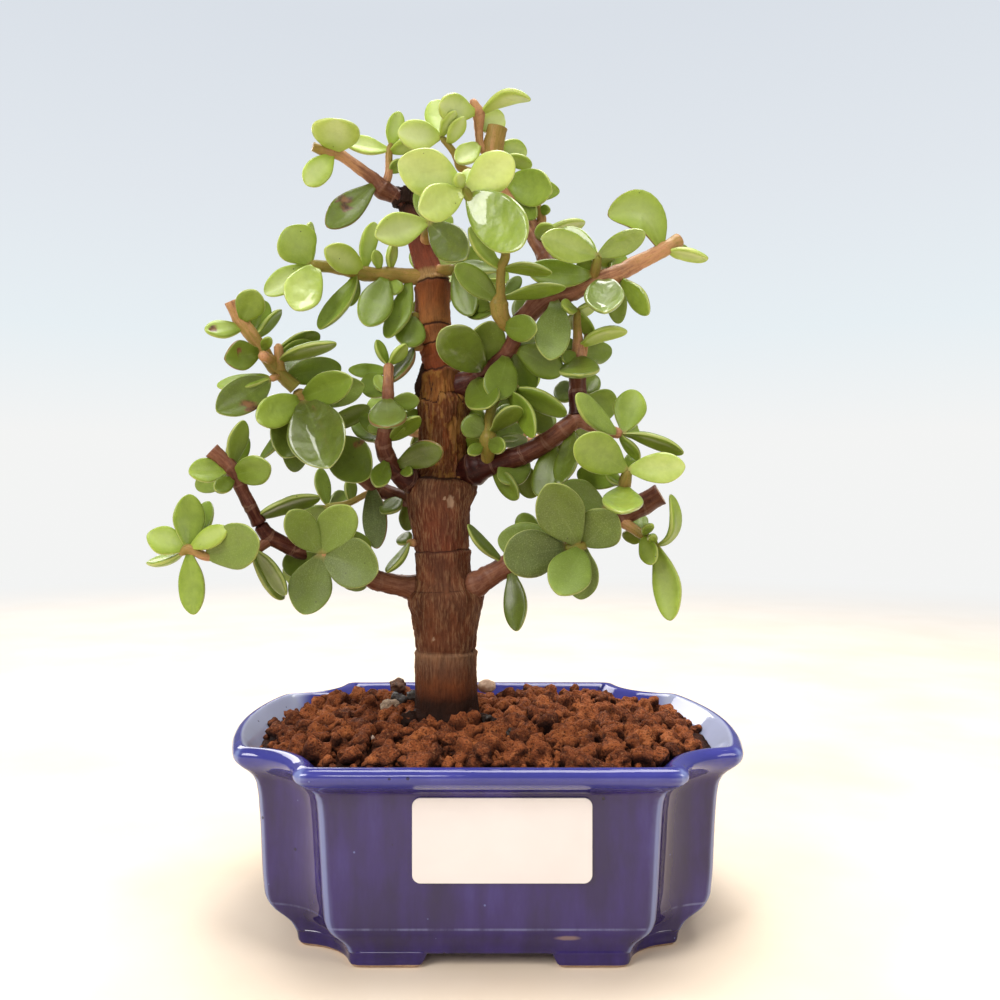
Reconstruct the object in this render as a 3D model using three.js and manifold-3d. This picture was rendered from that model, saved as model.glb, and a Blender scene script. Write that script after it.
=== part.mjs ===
// A dwarf jade bonsai in a glazed pot with notched corners.
// Millimetres, +Z up. The plant rests in its pot: one body, nothing moves.
import * as THREE from "three";
import { mergeVertices } from "three/addons/utils/BufferGeometryUtils.js";
import Module from "manifold-3d";

const wasm = await Module();
wasm.setup();

// The plant is set out on the sight plane, the upright plane through the pot's middle,
// as it looks from the eye: x to the right, z up, and a depth y away from the eye.
// A point with another depth lies on the same line of sight. The plane's x is counted
// from a line a little to the right of the pot's middle.
const EYE = new THREE.Vector3(-8.3, -251, 111.8);
const SIGHT_START = 0.84;

// The pot
const POT_HEIGHT = 50;
const FOOT_HEIGHT = 3.6;
const FLOOR_TOP = 8;
const FOOT_GAP_FRONT = 17.4;
const FOOT_GAP_FRONT_TOP = 14.6;
const FOOT_GAP_SIDE = 12;
const DRAIN_RADIUS = 6;
const DRAIN_X = 27;
const CLEARANCE = 0.3;
const SOIL_LEAN = 0.03;
const NOTCH_STEPS = 4;
const END_STEPS = 4;

// Each level of an outline: height, half length, half depth, the half lengths of the
// straight front and of the straight side between two notches, and the bow of the side.
const POT_OUTSIDE = [
  [3.5, 48.7, 41.1, 34.1, 30.2, 1.6],
  [6, 50.2, 41.5, 35, 30, 2],
  [7.4, 52, 42.1, 36.4, 29.8, 2.4],
  [9, 54.4, 42.9, 38, 29.6, 2.8],
  [11.5, 56.1, 43.2, 39.3, 29.5, 3],
  [36, 57.7, 43.3, 40.8, 29.3, 3.5],
  [42, 58.8, 43.6, 41.3, 29.5, 3.8],
  [44.2, 60.7, 46, 43, 30.9, 4.6],
  [46.2, 62.6, 48.9, 45, 32.2, 5.4],
  [48.4, 63, 49.9, 45.7, 32.8, 5.8],
  [POT_HEIGHT, 61.6, 48.2, 44.2, 31.2, 5.8],
];
const POT_INSIDE = [
  [FLOOR_TOP, 51.5, 38.2, 34, 24.5, 2.4],
  [12, 52.9, 39.5, 35.6, 25, 2.8],
  [42, 54.8, 40.1, 37.2, 25.2, 3.4],
  [45, 57, 42.6, 38.9, 26.8, 4.2],
  [48.2, 59.6, 45.4, 41.4, 28.9, 5.2],
  [49.6, 60.6, 46.6, 42.5, 29.9, 5.6],
  [52, 61, 47, 42.9, 30.3, 5.8],
];
const FEET_OUTSIDE = [
  [0, 47.4, 40.9, 33.3, 30.4, 1.2],
  [3.9, 48.5, 41, 33.9, 30.2, 1.5],
];
const FEET_INSIDE = [
  [-1, 38.5, 31.5, 25, 20.5, 1],
  [3.95, 38.5, 31.5, 25, 20.5, 1],
];

// The label on the front wall
const LABEL_LENGTH = 42.4;
const LABEL_HEIGHT = 20.1;
const LABEL_THICKNESS = 0.4;
const LABEL_RADIUS = 2;
const LABEL_X = 2.8;
const LABEL_Z = 31.7;

// The drain screens on the pot's floor
const SCREEN_SIDE = 20;
const SCREEN_THICKNESS = 0.8;

// Leaves: rings along a leaf, each with its place, its width and its thickness.
const LEAF_RINGS = [[0, 0, 0], [0.2, 0.66, 0.8], [0.56, 1, 1], [0.88, 0.74, 0.62], [1, 0, 0]];
const SMALL_LEAF_RINGS = [[0, 0, 0], [0.28, 0.82, 0.9], [0.78, 0.94, 0.9], [1, 0, 0]];
const SMALL_LEAF_WIDTH = 6.2;
const LEAF_THICKNESS = 2.3;
const LEAF_CAMBER = 0.07;

// Steps of the tubes: along a middle line, and round the trunk, the branches and the twigs
const MIDDLE_LINE_STEPS = 12;
const TRUNK_SIDES = 10;
const BRANCH_SIDES = 6;
const TWIG_SIDES = 5;

// The trunk's axis on the sight plane: x, z, depth, radius.
const TRUNK = [
  [-11.5, 42, 3, 10.5],
  [-11.6, 50, 3, 10],
  [-11.6, 55, 3, 8.9],
  [-11.7, 62, 3, 8.6],
  [-11.7, 68.6, 3, 8.9],
  [-11.7, 69.6, 3, 8.5],
  [-11.8, 76, 3, 9],
  [-11.9, 82, 3, 10],
  [-12, 85.3, 3, 10.3],
  [-12.3, 86.8, 3, 7.8],
  [-12.6, 92, 3, 7.4],
  [-12.7, 96.6, 3, 7.7],
  [-12.9, 97.8, 3, 7.3],
  [-13.2, 104, 3, 8],
  [-13.6, 112, 3, 9],
  [-13.7, 117, 3, 9.2],
  [-12.4, 119, 3, 6.1],
  [-12.3, 125, 3, 6.3],
  [-12.5, 135, 3, 6.9],
  [-12.6, 139.3, 3, 6.9],
  [-12.9, 141.2, 3, 6.2],
  [-13.4, 150, 4, 5],
  [-14.5, 156, 4.5, 4.7],
  [-15.7, 161.7, 5, 5.4],
  [-15.7, 168, 5.3, 5],
  [-15.8, 174.5, 5.5, 5],
  [-19.1, 184.5, 6, 3.4],
  [-21.4, 193, 6.5, 3.2],
  [-23.6, 199, 7, 2.6],
];
const TRUNK_ROOTS = [
  [[-14, 49.5, 0, 3.4], [-22, 48.6, -5, 2.6], [-29, 46.4, -9, 1.6]],
  [[-8, 49.5, 0, 3.4], [-1, 48.4, -7, 2.4], [6, 46, -12, 1.5]],
  [[-10, 51, 8, 3.2], [-4, 51, 17, 2.3], [2, 50, 25, 1.4]],
];
const TRUNK_SPIKES = [
  [[-23, 196, 7, 1.4], [-24.4, 202, 7, 0.5]],
  [[-22.6, 195, 8, 1.3], [-22.2, 200.6, 9, 0.5]],
];

// Every branch and shoot: its name, its tubes and its leaves.
// A tube is a list of x, z, depth, radius. A leaf is the x, z, depth of its base and of
// its tip, its width, its turn about its own length in degrees, 0 with its face to the
// eye, and, where it is bent, the x and z that its middle bends towards.
const SHOOTS = [
  ["branch_left_low", [
    [[-14, 86, 3, 3.3], [-21, 86.8, 3, 3], [-31, 88.8, -1, 2.8], [-38, 92, -4, 2.7], [-46, 95.5, -8, 2.5],
      [-55, 98, -12.5, 2.3], [-62, 101.5, -15, 2.2], [-65, 105, -16.5, 2]],
  ], []],
  ["shoot_left_low_tip", [
    [[-62, 100.5, -15, 1.6], [-66, 97.6, -16.5, 1.5], [-72, 96.3, -18, 1.4], [-80, 95.8, -21, 1.3],
      [-85.3, 97.8, -22, 1.4], [-87.6, 96.2, -22, 1]],
  ], [
    [-85.3, 98.6, -22, -84.6, 113.5, -19.5, 9, 10],
    [-84.6, 98.6, -21, -79.5, 111.5, -8, 6.5, -30],
    [-86, 98.2, -22, -96.9, 102, -23.5, 8.5, 15],
    [-84.6, 98.4, -22, -74, 103.6, -26.5, 6.5, -20],
    [-85, 97, -22, -83.6, 79.1, -23.5, 8, 25],
    [-86.2, 97.2, -21, -96.8, 94.1, -15, 7, 72],
    [-80, 96.2, -21, -65, 100.5, -32, 13.5, 0],
    [-66, 97.2, -16.5, -57.2, 84.8, -21, 8, 60],
    [-67, 97, -15, -57.8, 83.6, -9.5, 9, 118],
  ]],
  ["shoot_left_low_end", [
    [[-65, 105.2, -16.5, 2], [-67.5, 110, -18, 1.9], [-70.5, 116, -18, 1.9], [-73, 121, -19.5, 2.1],
      [-78.5, 126, -21, 2.3]],
  ], [
    [-72.7, 121.5, -19.5, -69.3, 134.5, -22, 6.5, 35],
    [-73, 121, -18, -68.3, 130, -7, 7, 20],
    [-73.5, 121, -19.5, -85, 119.5, -25, 7.5, 20],
    [-73.5, 120, -18, -83, 115.3, -9.5, 7, 10],
    [-72.3, 119, -19.5, -61.7, 121.5, -25, 9, 10],
    [-72.3, 118, -19.5, -77.3, 114.5, -26.5, 5, 10],
    [-66, 106.5, -16.5, -47.5, 112.5, -14, 8.5, 62],
  ]],
  ["shoot_left_low_inner", [
    [[-44.6, 94.6, -7.5, 1.7], [-47.2, 96.6, -15, 1.9]],
  ], [
    [-48, 97, -15, -56.5, 108.5, -25, 9.5, 5],
    [-47, 97.5, -15, -39, 110, -21, 11.5, 0],
    [-46.5, 95.8, -15, -31, 91.5, -22, 14.5, 0],
    [-46.5, 97, -12.5, -33, 99, -1, 10, 0],
    [-47.8, 95.5, -15, -52.4, 79.2, -19.5, 12.4, 0],
    [-48.5, 95.8, -14, -58, 92.3, -7, 8, 0],
  ]],
  ["shoot_trunk_left_bud", [
    [[-19.5, 99.4, 1, 1.2], [-22.8, 99.8, -1, 1.1]],
  ], [
    [-22.3, 99.5, -1, -28.6, 91.2, -7, 6, 72],
    [-22, 100, -1, -24.8, 101.6, 5, 5, 20],
  ]],
  ["branch_left_middle", [
    [[-16, 116, 3, 2.7], [-22.5, 117.8, 0, 2.5], [-26, 120.3, -2.5, 2.4], [-28.7, 124.5, -5.5, 2.4], [-29.5, 128, -7, 2.3],
      [-28.9, 132, -8, 2.2], [-28.4, 136, -8, 1.9], [-28.2, 143, -8, 1.6], [-28, 150.8, -7, 1.5]],
  ], [
    [-28.8, 141, -9.5, -28.5, 132.4, -25, 11, 0],
    [-27.3, 140, -8, -19.3, 140, -9.5, 5.3, 10],
    [-29, 142.6, -8, -31.6, 147.4, -5.5, 4, 10],
    [-27.6, 131.6, -8, -23.4, 132.8, -11, 3.2, 20],
    [-30, 131.6, -8, -34, 132.5, -8, 3, 0],
    [-27.8, 128.3, -7, -19.3, 135.5, -14, 6.5, 45],
    [-27.6, 130, -5.5, -19.6, 137.4, 3, 4.5, 0],
    [-28.3, 150.4, -7, -31.5, 157.5, -8, 4.5, 55],
    [-27.7, 150.4, -7, -23, 156.2, -8, 5.5, 55],
    [-25.6, 121.6, -4, -12.8, 126.5, -19.5, 8, 10],
    [-25, 121, -2.5, -21.5, 119.5, -9.5, 3.4, 0],
    [-28.6, 122.6, -7, -31.5, 115.6, -16.5, 6, 0],
    [-28.9, 142, -7, -35.5, 146.5, 0, 7.5, 0],
    [-30, 130.4, -5.5, -36, 136.2, 1.5, 5, 0],
    [-30.3, 129, -5.5, -38.5, 133.6, 8, 4.8, 20],
    [-28.4, 148.6, -5.5, -39.5, 149, 4, 4.5, 20],
  ]],
  ["shoot_trunk_left_leaf", [
    [[-18, 155.4, 3, 1.2], [-21.2, 155.2, -1, 1]],
  ], [
    [-20.8, 155, -1, -28, 145, -7, 7.5, 60],
  ]],
  ["branch_left_back", [
    [[-16, 111, 5, 2.5], [-22, 112, 8, 2.3], [-30, 114.5, 10, 2.2], [-40, 122, 9, 2.1], [-48, 131, 5, 2],
      [-54, 136.6, -1, 2]],
  ], [
    [-33, 116, 9, -31.3, 98, -1, 7.5, 22],
    [-24.5, 112.8, 7, -30, 108, 3, 6.5, 45],
    [-23, 111, 9, -22.6, 103, 12, 5, 0],
    [-46.5, 129.5, 4, -33.5, 118.3, -11, 13, 0],
    [-47, 131.6, 4, -33.4, 138.3, 0, 5.5, 0],
  ]],
  ["shoot_left_back", [
    [[-31.5, 114.5, 10.5, 1], [-34.2, 113.6, 14, 0.9], [-39.6, 110.9, 18, 0.9], [-46, 110, 20, 0.8]],
  ], [
    [-39, 111.2, 18, -38.6, 118, 22, 4.5, 40],
    [-45.6, 110.4, 20, -47.5, 121, 24, 5, 30],
    [-45, 110.4, 20, -40, 113.5, 30, 5, 0],
    [-46, 109.8, 20, -52, 104, 24, 8, 0],
  ]],
  ["shoot_left_cluster_low", [
    [[-54, 137, -1, 2], [-52.5, 140, -5.5, 1.9], [-54.3, 143.2, -7, 1.9]],
  ], [
    [-53, 140.4, -8, -65.5, 134.5, -21, 9.5, 0],
    [-51.6, 139.8, -9.5, -45, 121, -28, 17, 5],
    [-53.6, 138.5, -7, -58, 123.8, -16.5, 12, 0],
    [-53.6, 139.4, -7, -55, 119.7, -8, 9, 0],
    [-54.5, 138.5, -4, -64.5, 123.5, -7, 5, 60],
    [-52.5, 141, -8, -38.4, 146.3, -19.5, 9.5, 0],
    [-52, 140, -7, -35, 144.5, -8, 9, 20],
  ]],
  ["shoot_left_cluster_high", [
    [[-54.6, 143.7, -7, 1.9], [-57.5, 146.5, -8, 1.9], [-61, 150, -9.5, 2], [-64.4, 155, -11, 2], [-68, 160, -12.5, 2],
      [-70.3, 163, -12.5, 2.1], [-73, 168.5, -14, 1.9]],
    [[-61.5, 151.6, -9.5, 1.5], [-64, 153, -18, 1.5]],
    [[-59, 148.5, -9.5, 1.5], [-59.5, 156.3, -9.5, 1.4]],
    [[-58.5, 147.3, -8, 1], [-61.8, 146.3, -12.5, 1]],
  ], [
    [-61.5, 146.2, -12.5, -77, 137, -21, 10.5, 10],
    [-61.6, 147.2, -12.5, -77, 144.3, -15, 7, 58],
    [-65, 153.6, -12.5, -74.8, 152, -21, 8.5, 0],
    [-69.5, 161, -12.5, -80.4, 160.2, -19.5, 6, 35],
    [-69.8, 162.6, -14, -66, 171.5, -21, 8.5, 0],
    [-66.5, 158.5, -12.5, -63, 168.5, -9.5, 5.5, 10],
    [-66, 158, -12.5, -58.5, 165.8, -5.5, 5.5, 60],
    [-64, 154.5, -14, -61.8, 158, -18, 3.2, 0],
    [-59.2, 151.5, -11, -43, 156.5, -18, 7.5, 62],
    [-59.2, 153.5, -9.5, -49.5, 156.2, -4, 5, 20],
    [-59.3, 155, -9.5, -47.5, 158.5, -1, 6, 30],
    [-57.5, 147, -7, -41.5, 149.5, 3, 8, 10],
    [-57, 146.5, -7, -51, 158, 8, 9, 0],
  ]],
  ["branch_left_high", [
    [[-16, 175, 5, 2.4], [-20.7, 175.3, 4, 2.2], [-28, 176, 1.5, 2.1], [-35, 176.3, -1, 2], [-43, 178, -5.5, 1.7],
      [-50.4, 178.7, -8, 1.6]],
  ], [
    [-48.6, 179, -8, -55, 166, -18, 11, 0],
    [-51, 178.3, -8, -63.4, 170.6, -7, 7.5, 25],
    [-50.9, 179.3, -8, -57.3, 189.4, -12.5, 13, 18],
    [-50, 179.5, -7, -50, 191, 0, 5, 45],
    [-35.2, 177, -2.5, -46.3, 183.3, -16.5, 8, 0],
    [-35, 177.6, -1, -31.9, 191, -1, 5.5, 30],
    [-37, 175.5, -4, -47.8, 160.5, -11, 8, 50],
    [-28.7, 175, 0, -34.3, 161.3, -12.5, 10, 0],
    [-37.5, 176, -1, -39.5, 167, 5, 5, 0],
    [-27.5, 177.2, 1.5, -26.5, 185.5, -1, 5, 60],
    [-27.2, 175, 1.5, -26.3, 170.3, -1, 5.8, 0],
    [-22, 174.5, 3, -28.4, 158, -7, 7.5, 30],
    [-30.5, 177.3, 0, -32, 183, -4, 3.5, 20],
  ]],
  ["shoot_trunk_left_upper", [
    [[-17, 163, 4.5, 1.4], [-21.5, 164.6, 1, 1.2]],
  ], [
    [-21.4, 164.4, 1, -22.3, 155.3, -4, 9, 0],
  ]],
  ["branch_top_left", [
    [[-23, 196, 6, 2], [-26, 198.4, 6, 2.1], [-29.8, 200.4, 5, 2.8], [-31.8, 202.8, 4, 1.8], [-36.7, 206.5, 1.5, 1.6],
      [-42.2, 210.3, -1, 1.6], [-45.7, 211, -2.5, 1.5], [-49.7, 212.5, -4, 1.3]],
    [[-29.4, 201, 5, 1.4], [-28.1, 204.6, 5, 1.1], [-27.9, 211, 5, 1], [-27.3, 213.4, 5, 0.9]],
  ], [
    [-43.6, 211, -2.5, -43, 220.4, -14, 14, 0],
    [-44, 210.2, -2.5, -51.6, 201.6, -8, 7.5, 10],
    [-32.6, 201, 3, -45.7, 189.5, -8, 8.5, 15],
    [-28.2, 211.5, 5, -40.9, 213.9, 0, 6, 40],
    [-27.4, 213, 5, -24.9, 222.5, 4, 5.2, 10],
    [-27.6, 210.8, 5, -20, 213.6, 1.5, 4.8, 30],
    [-28, 205, 5, -24, 208.7, 4, 4, 30],
  ]],
  ["branch_right_high", [
    [[-10, 143, 3, 3.3], [-2, 147.4, -2.5, 2.2], [6, 154.5, -7, 2], [10, 162.5, -9.5, 3], [17, 169.3, -9.5, 3.2],
      [24, 171.2, -9.5, 2.6], [33, 174.8, -9.5, 2.4], [36.5, 176, -9.5, 2.5], [42, 178.8, -8, 2.2], [50, 183, -7, 2.1],
      [54.6, 185.8, -5.5, 2]],
    [[8, 154.6, -7, 1.1], [12, 153.4, -5.5, 0.9]],
  ], [
    [48.6, 183.6, -7, 34.4, 192.8, -12.5, 8, 38, 50.5, 200],
    [51, 182.6, -7, 63, 180.5, -11, 5, 48],
    [51.5, 183.4, -5.5, 57.3, 182, 4, 4.5, 0],
    [33.5, 175.3, -12.5, 33.5, 165.2, -25, 11.5, 0],
    [37.9, 174.8, -9.5, 46, 164.6, -14, 6.5, 35],
    [36.5, 175, -8, 37.5, 162, -1, 6, 0],
    [35.5, 177, -8, 39.5, 181.3, 0, 5, 0],
    [20.2, 168, -14, 17.8, 151.7, -22, 10.5, 0],
    [8.6, 163, -7, 12.5, 170.8, 4, 6.5, 0],
    [8.7, 155, -8, 21.5, 148.2, -14, 9.5, 12],
    [7.6, 154.4, -7, 13, 142.7, -2.5, 7, 10],
    [9.6, 156.2, -5.5, 13.4, 158, 4, 4.5, 0],
    [-1, 149, -5.5, -13, 160.3, -19.5, 12.5, 0],
    [-1.6, 148.4, -4, 1.2, 162.8, -12.5, 11.5, 20],
    [5.6, 152.6, -9.5, 2.4, 140.2, -14, 10, 0],
    [-4.2, 146.6, -4, 0.4, 138.3, -19.5, 10.5, 0],
  ]],
  ["shoot_right_high_upper", [
    [[30, 174.4, -9.5, 1.5], [31, 178, -12.5, 1.4], [31.6, 181.4, -14, 1.3]],
  ], [
    [31.3, 181.3, -14, 15.5, 186.4, -25, 9, 12],
    [31.4, 181.8, -12.5, 21, 189, -5.5, 6.5, 20],
    [31.9, 181.5, -14, 45, 188, -22, 7, 12],
    [30.7, 179.5, -12.5, 25.5, 177.6, -5.5, 4.5, 0],
    [31.6, 180.4, -11, 36.5, 178, -1, 5, 0],
    [29.2, 175.6, -12.5, 11.5, 177.2, -18, 8.5, 22],
  ]],
  ["shoot_crown_stem", [
    [[8.4, 160.6, -8, 1.6], [5.4, 162, -12.5, 2], [3.7, 165, -14.5, 2.4], [3.5, 168, -15, 2.5], [3.8, 170.8, -16.5, 1.2], [4, 177.5, -19.5, 1.3],
      [5.2, 182, -22, 1.3], [1, 191, -26.5, 1.3], [-5, 198, -29, 1.4], [-6.6, 200.8, -30, 1.3]],
  ], [
    [4.6, 161, -14, 14.2, 160.2, -23.5, 8, 0],
    [2.6, 169, -15, -9, 178.7, -19.5, 7.5, 12],
    [5, 169.3, -15, 22.5, 172.4, -16.5, 5.5, 45],
    [4.6, 170, -14, 9.6, 175.3, -9.5, 4, 0],
    [4.3, 177.6, -19.5, 18.5, 176.6, -25, 5.5, 55],
    [3.5, 178, -19.5, -5.2, 189.5, -25, 6.5, 50],
    [3.5, 177.3, -18, -7, 179.3, -12.5, 5, 50],
    [1.8, 167.2, -14, -3.8, 167, -5.5, 4, 0],
    [2, 165.6, -12.5, -6, 164.9, -4, 4, 30],
    [-6.8, 200.3, -29, -25.3, 208.3, -36, 13, 0],
    [-7, 199.5, -29, -19.3, 194, -40.5, 10.5, 0],
    [-5.6, 200.4, -29, 7.4, 209.3, -36, 11.5, 0],
    [-5.2, 198.8, -29, 10, 184, -40.5, 15, 0],
    [-6.8, 201, -30, -8.4, 204.7, -35, 4, 20],
    [-6, 201, -28, -4.6, 206, -25, 5, 0],
  ]],
  ["shoot_trunk_front_upper", [
    [[-18, 183.6, 6, 1.8], [-17.2, 187, 1.5, 1.7], [-16.5, 190.8, -5.5, 1.6]],
  ], [
    [-17, 191, -7, -31.8, 187, -19.5, 9.5, 5],
    [-16, 190.3, -7, -6, 180.5, -19.5, 10.5, 0],
    [-16.4, 191, -5.5, -18, 202, -1, 8, 0],
  ]],
  ["shoot_trunk_right_upper", [
    [[-14, 176.8, 4, 1.8], [-9.2, 177.6, -1, 1.5]],
  ], [
    [-9.4, 177, -2, -4.2, 164.4, -8, 8.5, 10],
    [-9, 178, -1, 0, 183, 8, 7, 0],
  ]],
  ["branch_crown", [
    [[15.6, 169, -8, 2.4], [18, 175, -4, 2.6], [16.8, 181, 1.5, 2.6], [13.8, 187, 4, 2.6], [8, 197, 6, 2.6],
      [3, 206, 5, 2.7], [1.6, 211, 4, 2.9], [3, 218, 3, 2.9]],
    [[12.5, 188.5, 4, 1.3], [15.5, 191, 4, 1.3], [14, 196.3, 3, 1.2]],
  ], [
    [14.6, 194.6, 3, 18, 194.3, 1.5, 3, 0],
    [13.8, 186.6, 0, 18.8, 190, -5.5, 5.5, 20],
    [15.5, 187, 4, 28, 191, 3, 7, 58],
    [4.2, 209.2, 4, 12.8, 206.8, 7, 4.5, 30],
    [5.5, 203, 3, 18.5, 199.6, -8, 10.5, 0],
    [6, 201.5, 6, 20.7, 199.6, 10, 6, 0],
    [7.4, 198.4, 3, 14, 192.3, -2.5, 6, 20],
    [3.5, 213, 4, 11.3, 210.3, 10, 6, 0],
  ]],
  ["shoot_crown_left", [
    [[1.6, 207.4, 5, 1.2], [-3, 205.4, 4, 1.1], [-7.5, 206.5, 3, 1.1], [-9.3, 210.6, 1.5, 1], [-13, 215.2, 0, 1]],
  ], [
    [-13.3, 215.5, 0, -25.4, 216.3, -5.5, 8.5, 10],
    [-12.8, 215.4, -1, -9.1, 222.6, -7, 4.5, 40],
    [-11, 213, 0, -6.6, 221, -5.5, 5, 30],
    [-12.8, 215.5, 1.5, -15, 225.7, 7, 8, 0],
  ]],
  ["shoot_crown_top", [
    [[1, 210.5, 4, 1.2], [-1.6, 212.2, 3, 1.2], [-2.4, 217, 3, 1.2], [-2.5, 221.5, 1.5, 1.8], [-4.3, 226, 0, 1.2]],
  ], [
    [-1.5, 222, 1.5, 12.3, 226, -5.5, 7, 55, 6.5, 232.5],
    [-3.6, 221.8, 0, -13.6, 224.6, -9.5, 8, 0],
    [-2.4, 213.5, 1.5, -8.3, 208, -4, 6.5, 20],
    [-2.4, 218, 4, 5, 220.5, 11, 7, 0],
  ]],
  ["branch_right_middle", [
    [[-9, 119, 1.5, 3.6], [-4, 120.4, -1, 3.4], [2, 122.3, -4, 3.1], [10, 124.6, -7, 2.9], [17, 128.4, -9.5, 2.7],
      [22, 132, -11, 2.6], [26, 134.8, -12.5, 2.7], [30, 133.2, -14, 2.1], [34, 131.6, -16.5, 1.8], [38.4, 130.6, -18, 1.6]],
    [[38, 131, -16.5, 0.8], [39.3, 136, -15, 0.6]],
  ], [
    [37, 130.6, -19.5, 25.3, 141.7, -29, 8, 45],
    [39.4, 131.3, -18, 41.8, 143.3, -15, 9.3, 0],
    [39, 130.8, -18, 56, 125, -21, 6.5, 58],
    [39, 131, -15, 43, 132.3, -4, 5, 0],
    [37.8, 129.8, -18, 43.3, 123, -15, 4.5, 50],
    [12.5, 123, -5.5, 3.5, 117.4, -8, 9, 10],
    [1.6, 120.4, -4, 8.9, 112.2, -9.5, 7, 42],
    [9.5, 122, -2.5, 13.3, 112.4, 5, 7, 0],
    [19, 128, -8, 15, 112.6, -12.5, 8.5, 25],
    [24.5, 132, -11, 20.8, 116.5, -19.5, 7.5, 35],
    [21, 129, -5.5, 20.3, 117, 3, 5.5, 0],
  ]],
  ["shoot_right_middle_upright", [
    [[26, 135.5, -12.5, 2.5], [25.8, 142, -11, 2.5], [25.8, 148, -9.5, 2.5], [26, 152, -9.5, 2.1], [26, 155, -9.5, 1.7],
      [25.6, 163, -11, 1.1], [25.7, 166.2, -11, 1]],
    [[27.4, 152, -8, 0.9], [28.8, 161, -7, 0.8]],
  ], [
    [26.8, 155.4, -11, 40, 159.7, -14, 6, 55, 32, 161],
    [27.6, 153.5, -8, 35.6, 154.2, 3, 6.5, 0],
    [26, 153, -11, 26.5, 147.3, -26.5, 11.5, 0],
    [25.2, 154.8, -8, 21.3, 157.3, -4, 4, 20],
    [25.2, 153.6, -11, 21.6, 151.8, -16.5, 4, 0],
    [24.2, 140.6, -9.5, 20, 144.8, -1, 6.5, 0],
    [28, 140, -9.5, 37, 138.2, -5.5, 9.5, 0],
    [28, 142, -8, 31, 147.3, 0, 6, 0],
    [25.9, 165.6, -11, 30.2, 157.8, -7, 4, 20],
    [25.8, 166, -11, 31.2, 166.8, -8, 5.5, 50],
    [25.4, 166, -11, 21.4, 167.4, -16.5, 5, 50],
    [25.4, 165, -9.5, 23.4, 160.6, -1, 4.5, 0],
  ]],
  ["shoot_right_middle_inner", [
    [[0.2, 123.5, -5.5, 1.7], [0.3, 127, -9.5, 2.4], [0.4, 129.4, -11, 2.6], [0.5, 131.6, -11, 1.5], [0.8, 136, -11, 1.4],
      [3, 141, -9.5, 1.4], [6, 143.4, -9.5, 1.3]],
  ], [
    [-0.6, 131, -11, -7.2, 134, -11, 7.5, 0],
    [-0.4, 132.6, -8, -5, 137.5, 4, 5.5, 0],
    [1.7, 131.3, -12.5, 9.5, 138.2, -19.5, 7, 42],
    [1.5, 132.5, -9.5, 7.5, 138.5, 1.5, 6, 0],
    [2.2, 129.9, -8, 10.6, 132, 4, 5.5, 0],
    [0.3, 128, -14, 5, 126.7, -22, 5, 0],
    [-1.4, 127.6, -11, -5.2, 125, -15, 3.8, 10],
    [-1.6, 128.5, -8, -6.5, 126, 4, 6, 0],
    [2.6, 128.6, -8, 11.5, 128.8, 4, 4.5, 10],
    [5.8, 142.6, -11, 13.4, 129.9, -21, 7.5, 45],
    [6.6, 143.2, -9.5, 22.7, 136.2, -15, 8, 45],
    [6.4, 142.6, -8, 18.5, 131.4, 1.5, 8, 0],
  ]],
  ["branch_right_low", [
    [[-9, 86, 3, 3.5], [-3, 87.8, 0, 3.2], [1, 90.3, -1, 3.1], [6, 93.2, -2.5, 3], [20, 99.2, -4, 2.8],
      [30, 103.5, -5.5, 2.9], [38, 107, -7, 2.9], [44, 110.4, -8, 3.1], [49.4, 113.4, -9.5, 3.1]],
  ], [
    [7, 91, -5.5, 8.6, 74.5, -14, 7.5, 25],
    [4.4, 94.6, -2.5, -5.6, 104.7, -7, 6, 62],
    [15, 99, -2.5, 9.3, 107.8, 7, 7, 0],
  ]],
  ["shoot_right_low_front", [
    [[28.8, 105, -8, 1.1], [27.8, 101, -16.5, 1.1], [26.8, 98.7, -19.5, 1.5], [22, 98.2, -19.5, 1.3]],
  ], [
    [26, 99.3, -21, 17, 116.3, -30.5, 14, 0],
    [27.6, 98.8, -19.5, 36.4, 108.3, -26.5, 12.5, 0],
    [27.4, 98, -21, 20.3, 84.7, -33.5, 12.5, 0],
    [27.4, 98, -18, 26.6, 83.4, -18, 10, 10],
    [22.6, 98, -21, 4.8, 94.8, -28, 14, 0],
    [22.4, 98.8, -18, 3, 100.5, -15, 11.5, 0],
  ]],
  ["shoot_right_low_upper", [
    [[35, 106.5, -8, 1.3], [33.6, 109.9, -14, 1.2]],
  ], [
    [33.2, 110, -14, 21.3, 116, -19.5, 9, 5],
    [33.4, 109, -12.5, 26.8, 106.6, -5.5, 5, 0],
  ]],
  ["shoot_right_low_crown", [
    [[39.4, 108.5, -7.5, 1.7], [39, 113, -15, 1.7], [39.3, 117, -19.5, 1.7], [40, 120.3, -21, 1.5]],
  ], [
    [39.2, 120.4, -21, 25.3, 128.6, -30.5, 12, 0],
    [40.5, 120.5, -21, 56.4, 121.3, -28, 9, 5],
    [39.8, 121, -18, 41.8, 124.8, -11, 3.6, 0],
    [38.8, 115.2, -19.5, 38.3, 108.2, -36, 11.5, 0],
    [38.3, 116, -18, 34.4, 120.6, -11, 4, 40],
    [38.2, 117.4, -16.5, 25.6, 119.4, -5.5, 7.5, 0],
  ]],
  ["shoot_right_low_end", [
    [[39, 105.4, -8, 1.6], [44, 102, -12.5, 1.3], [46.5, 100.4, -14, 1.1], [48.4, 98.9, -15, 1.1]],
  ], [
    [43.5, 102.8, -9.5, 43.6, 107.5, 1.5, 5, 0],
    [42, 103.2, -8, 40.6, 99.6, -2.5, 5.5, 0],
    [44.5, 101.8, -14, 46.9, 105, -18, 3.4, 45],
    [44, 101.5, -14, 47.4, 93.6, -19.5, 6, 25],
    [48.7, 98.9, -15, 52.1, 113.4, -18, 6, 68, 56, 101.5],
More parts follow.
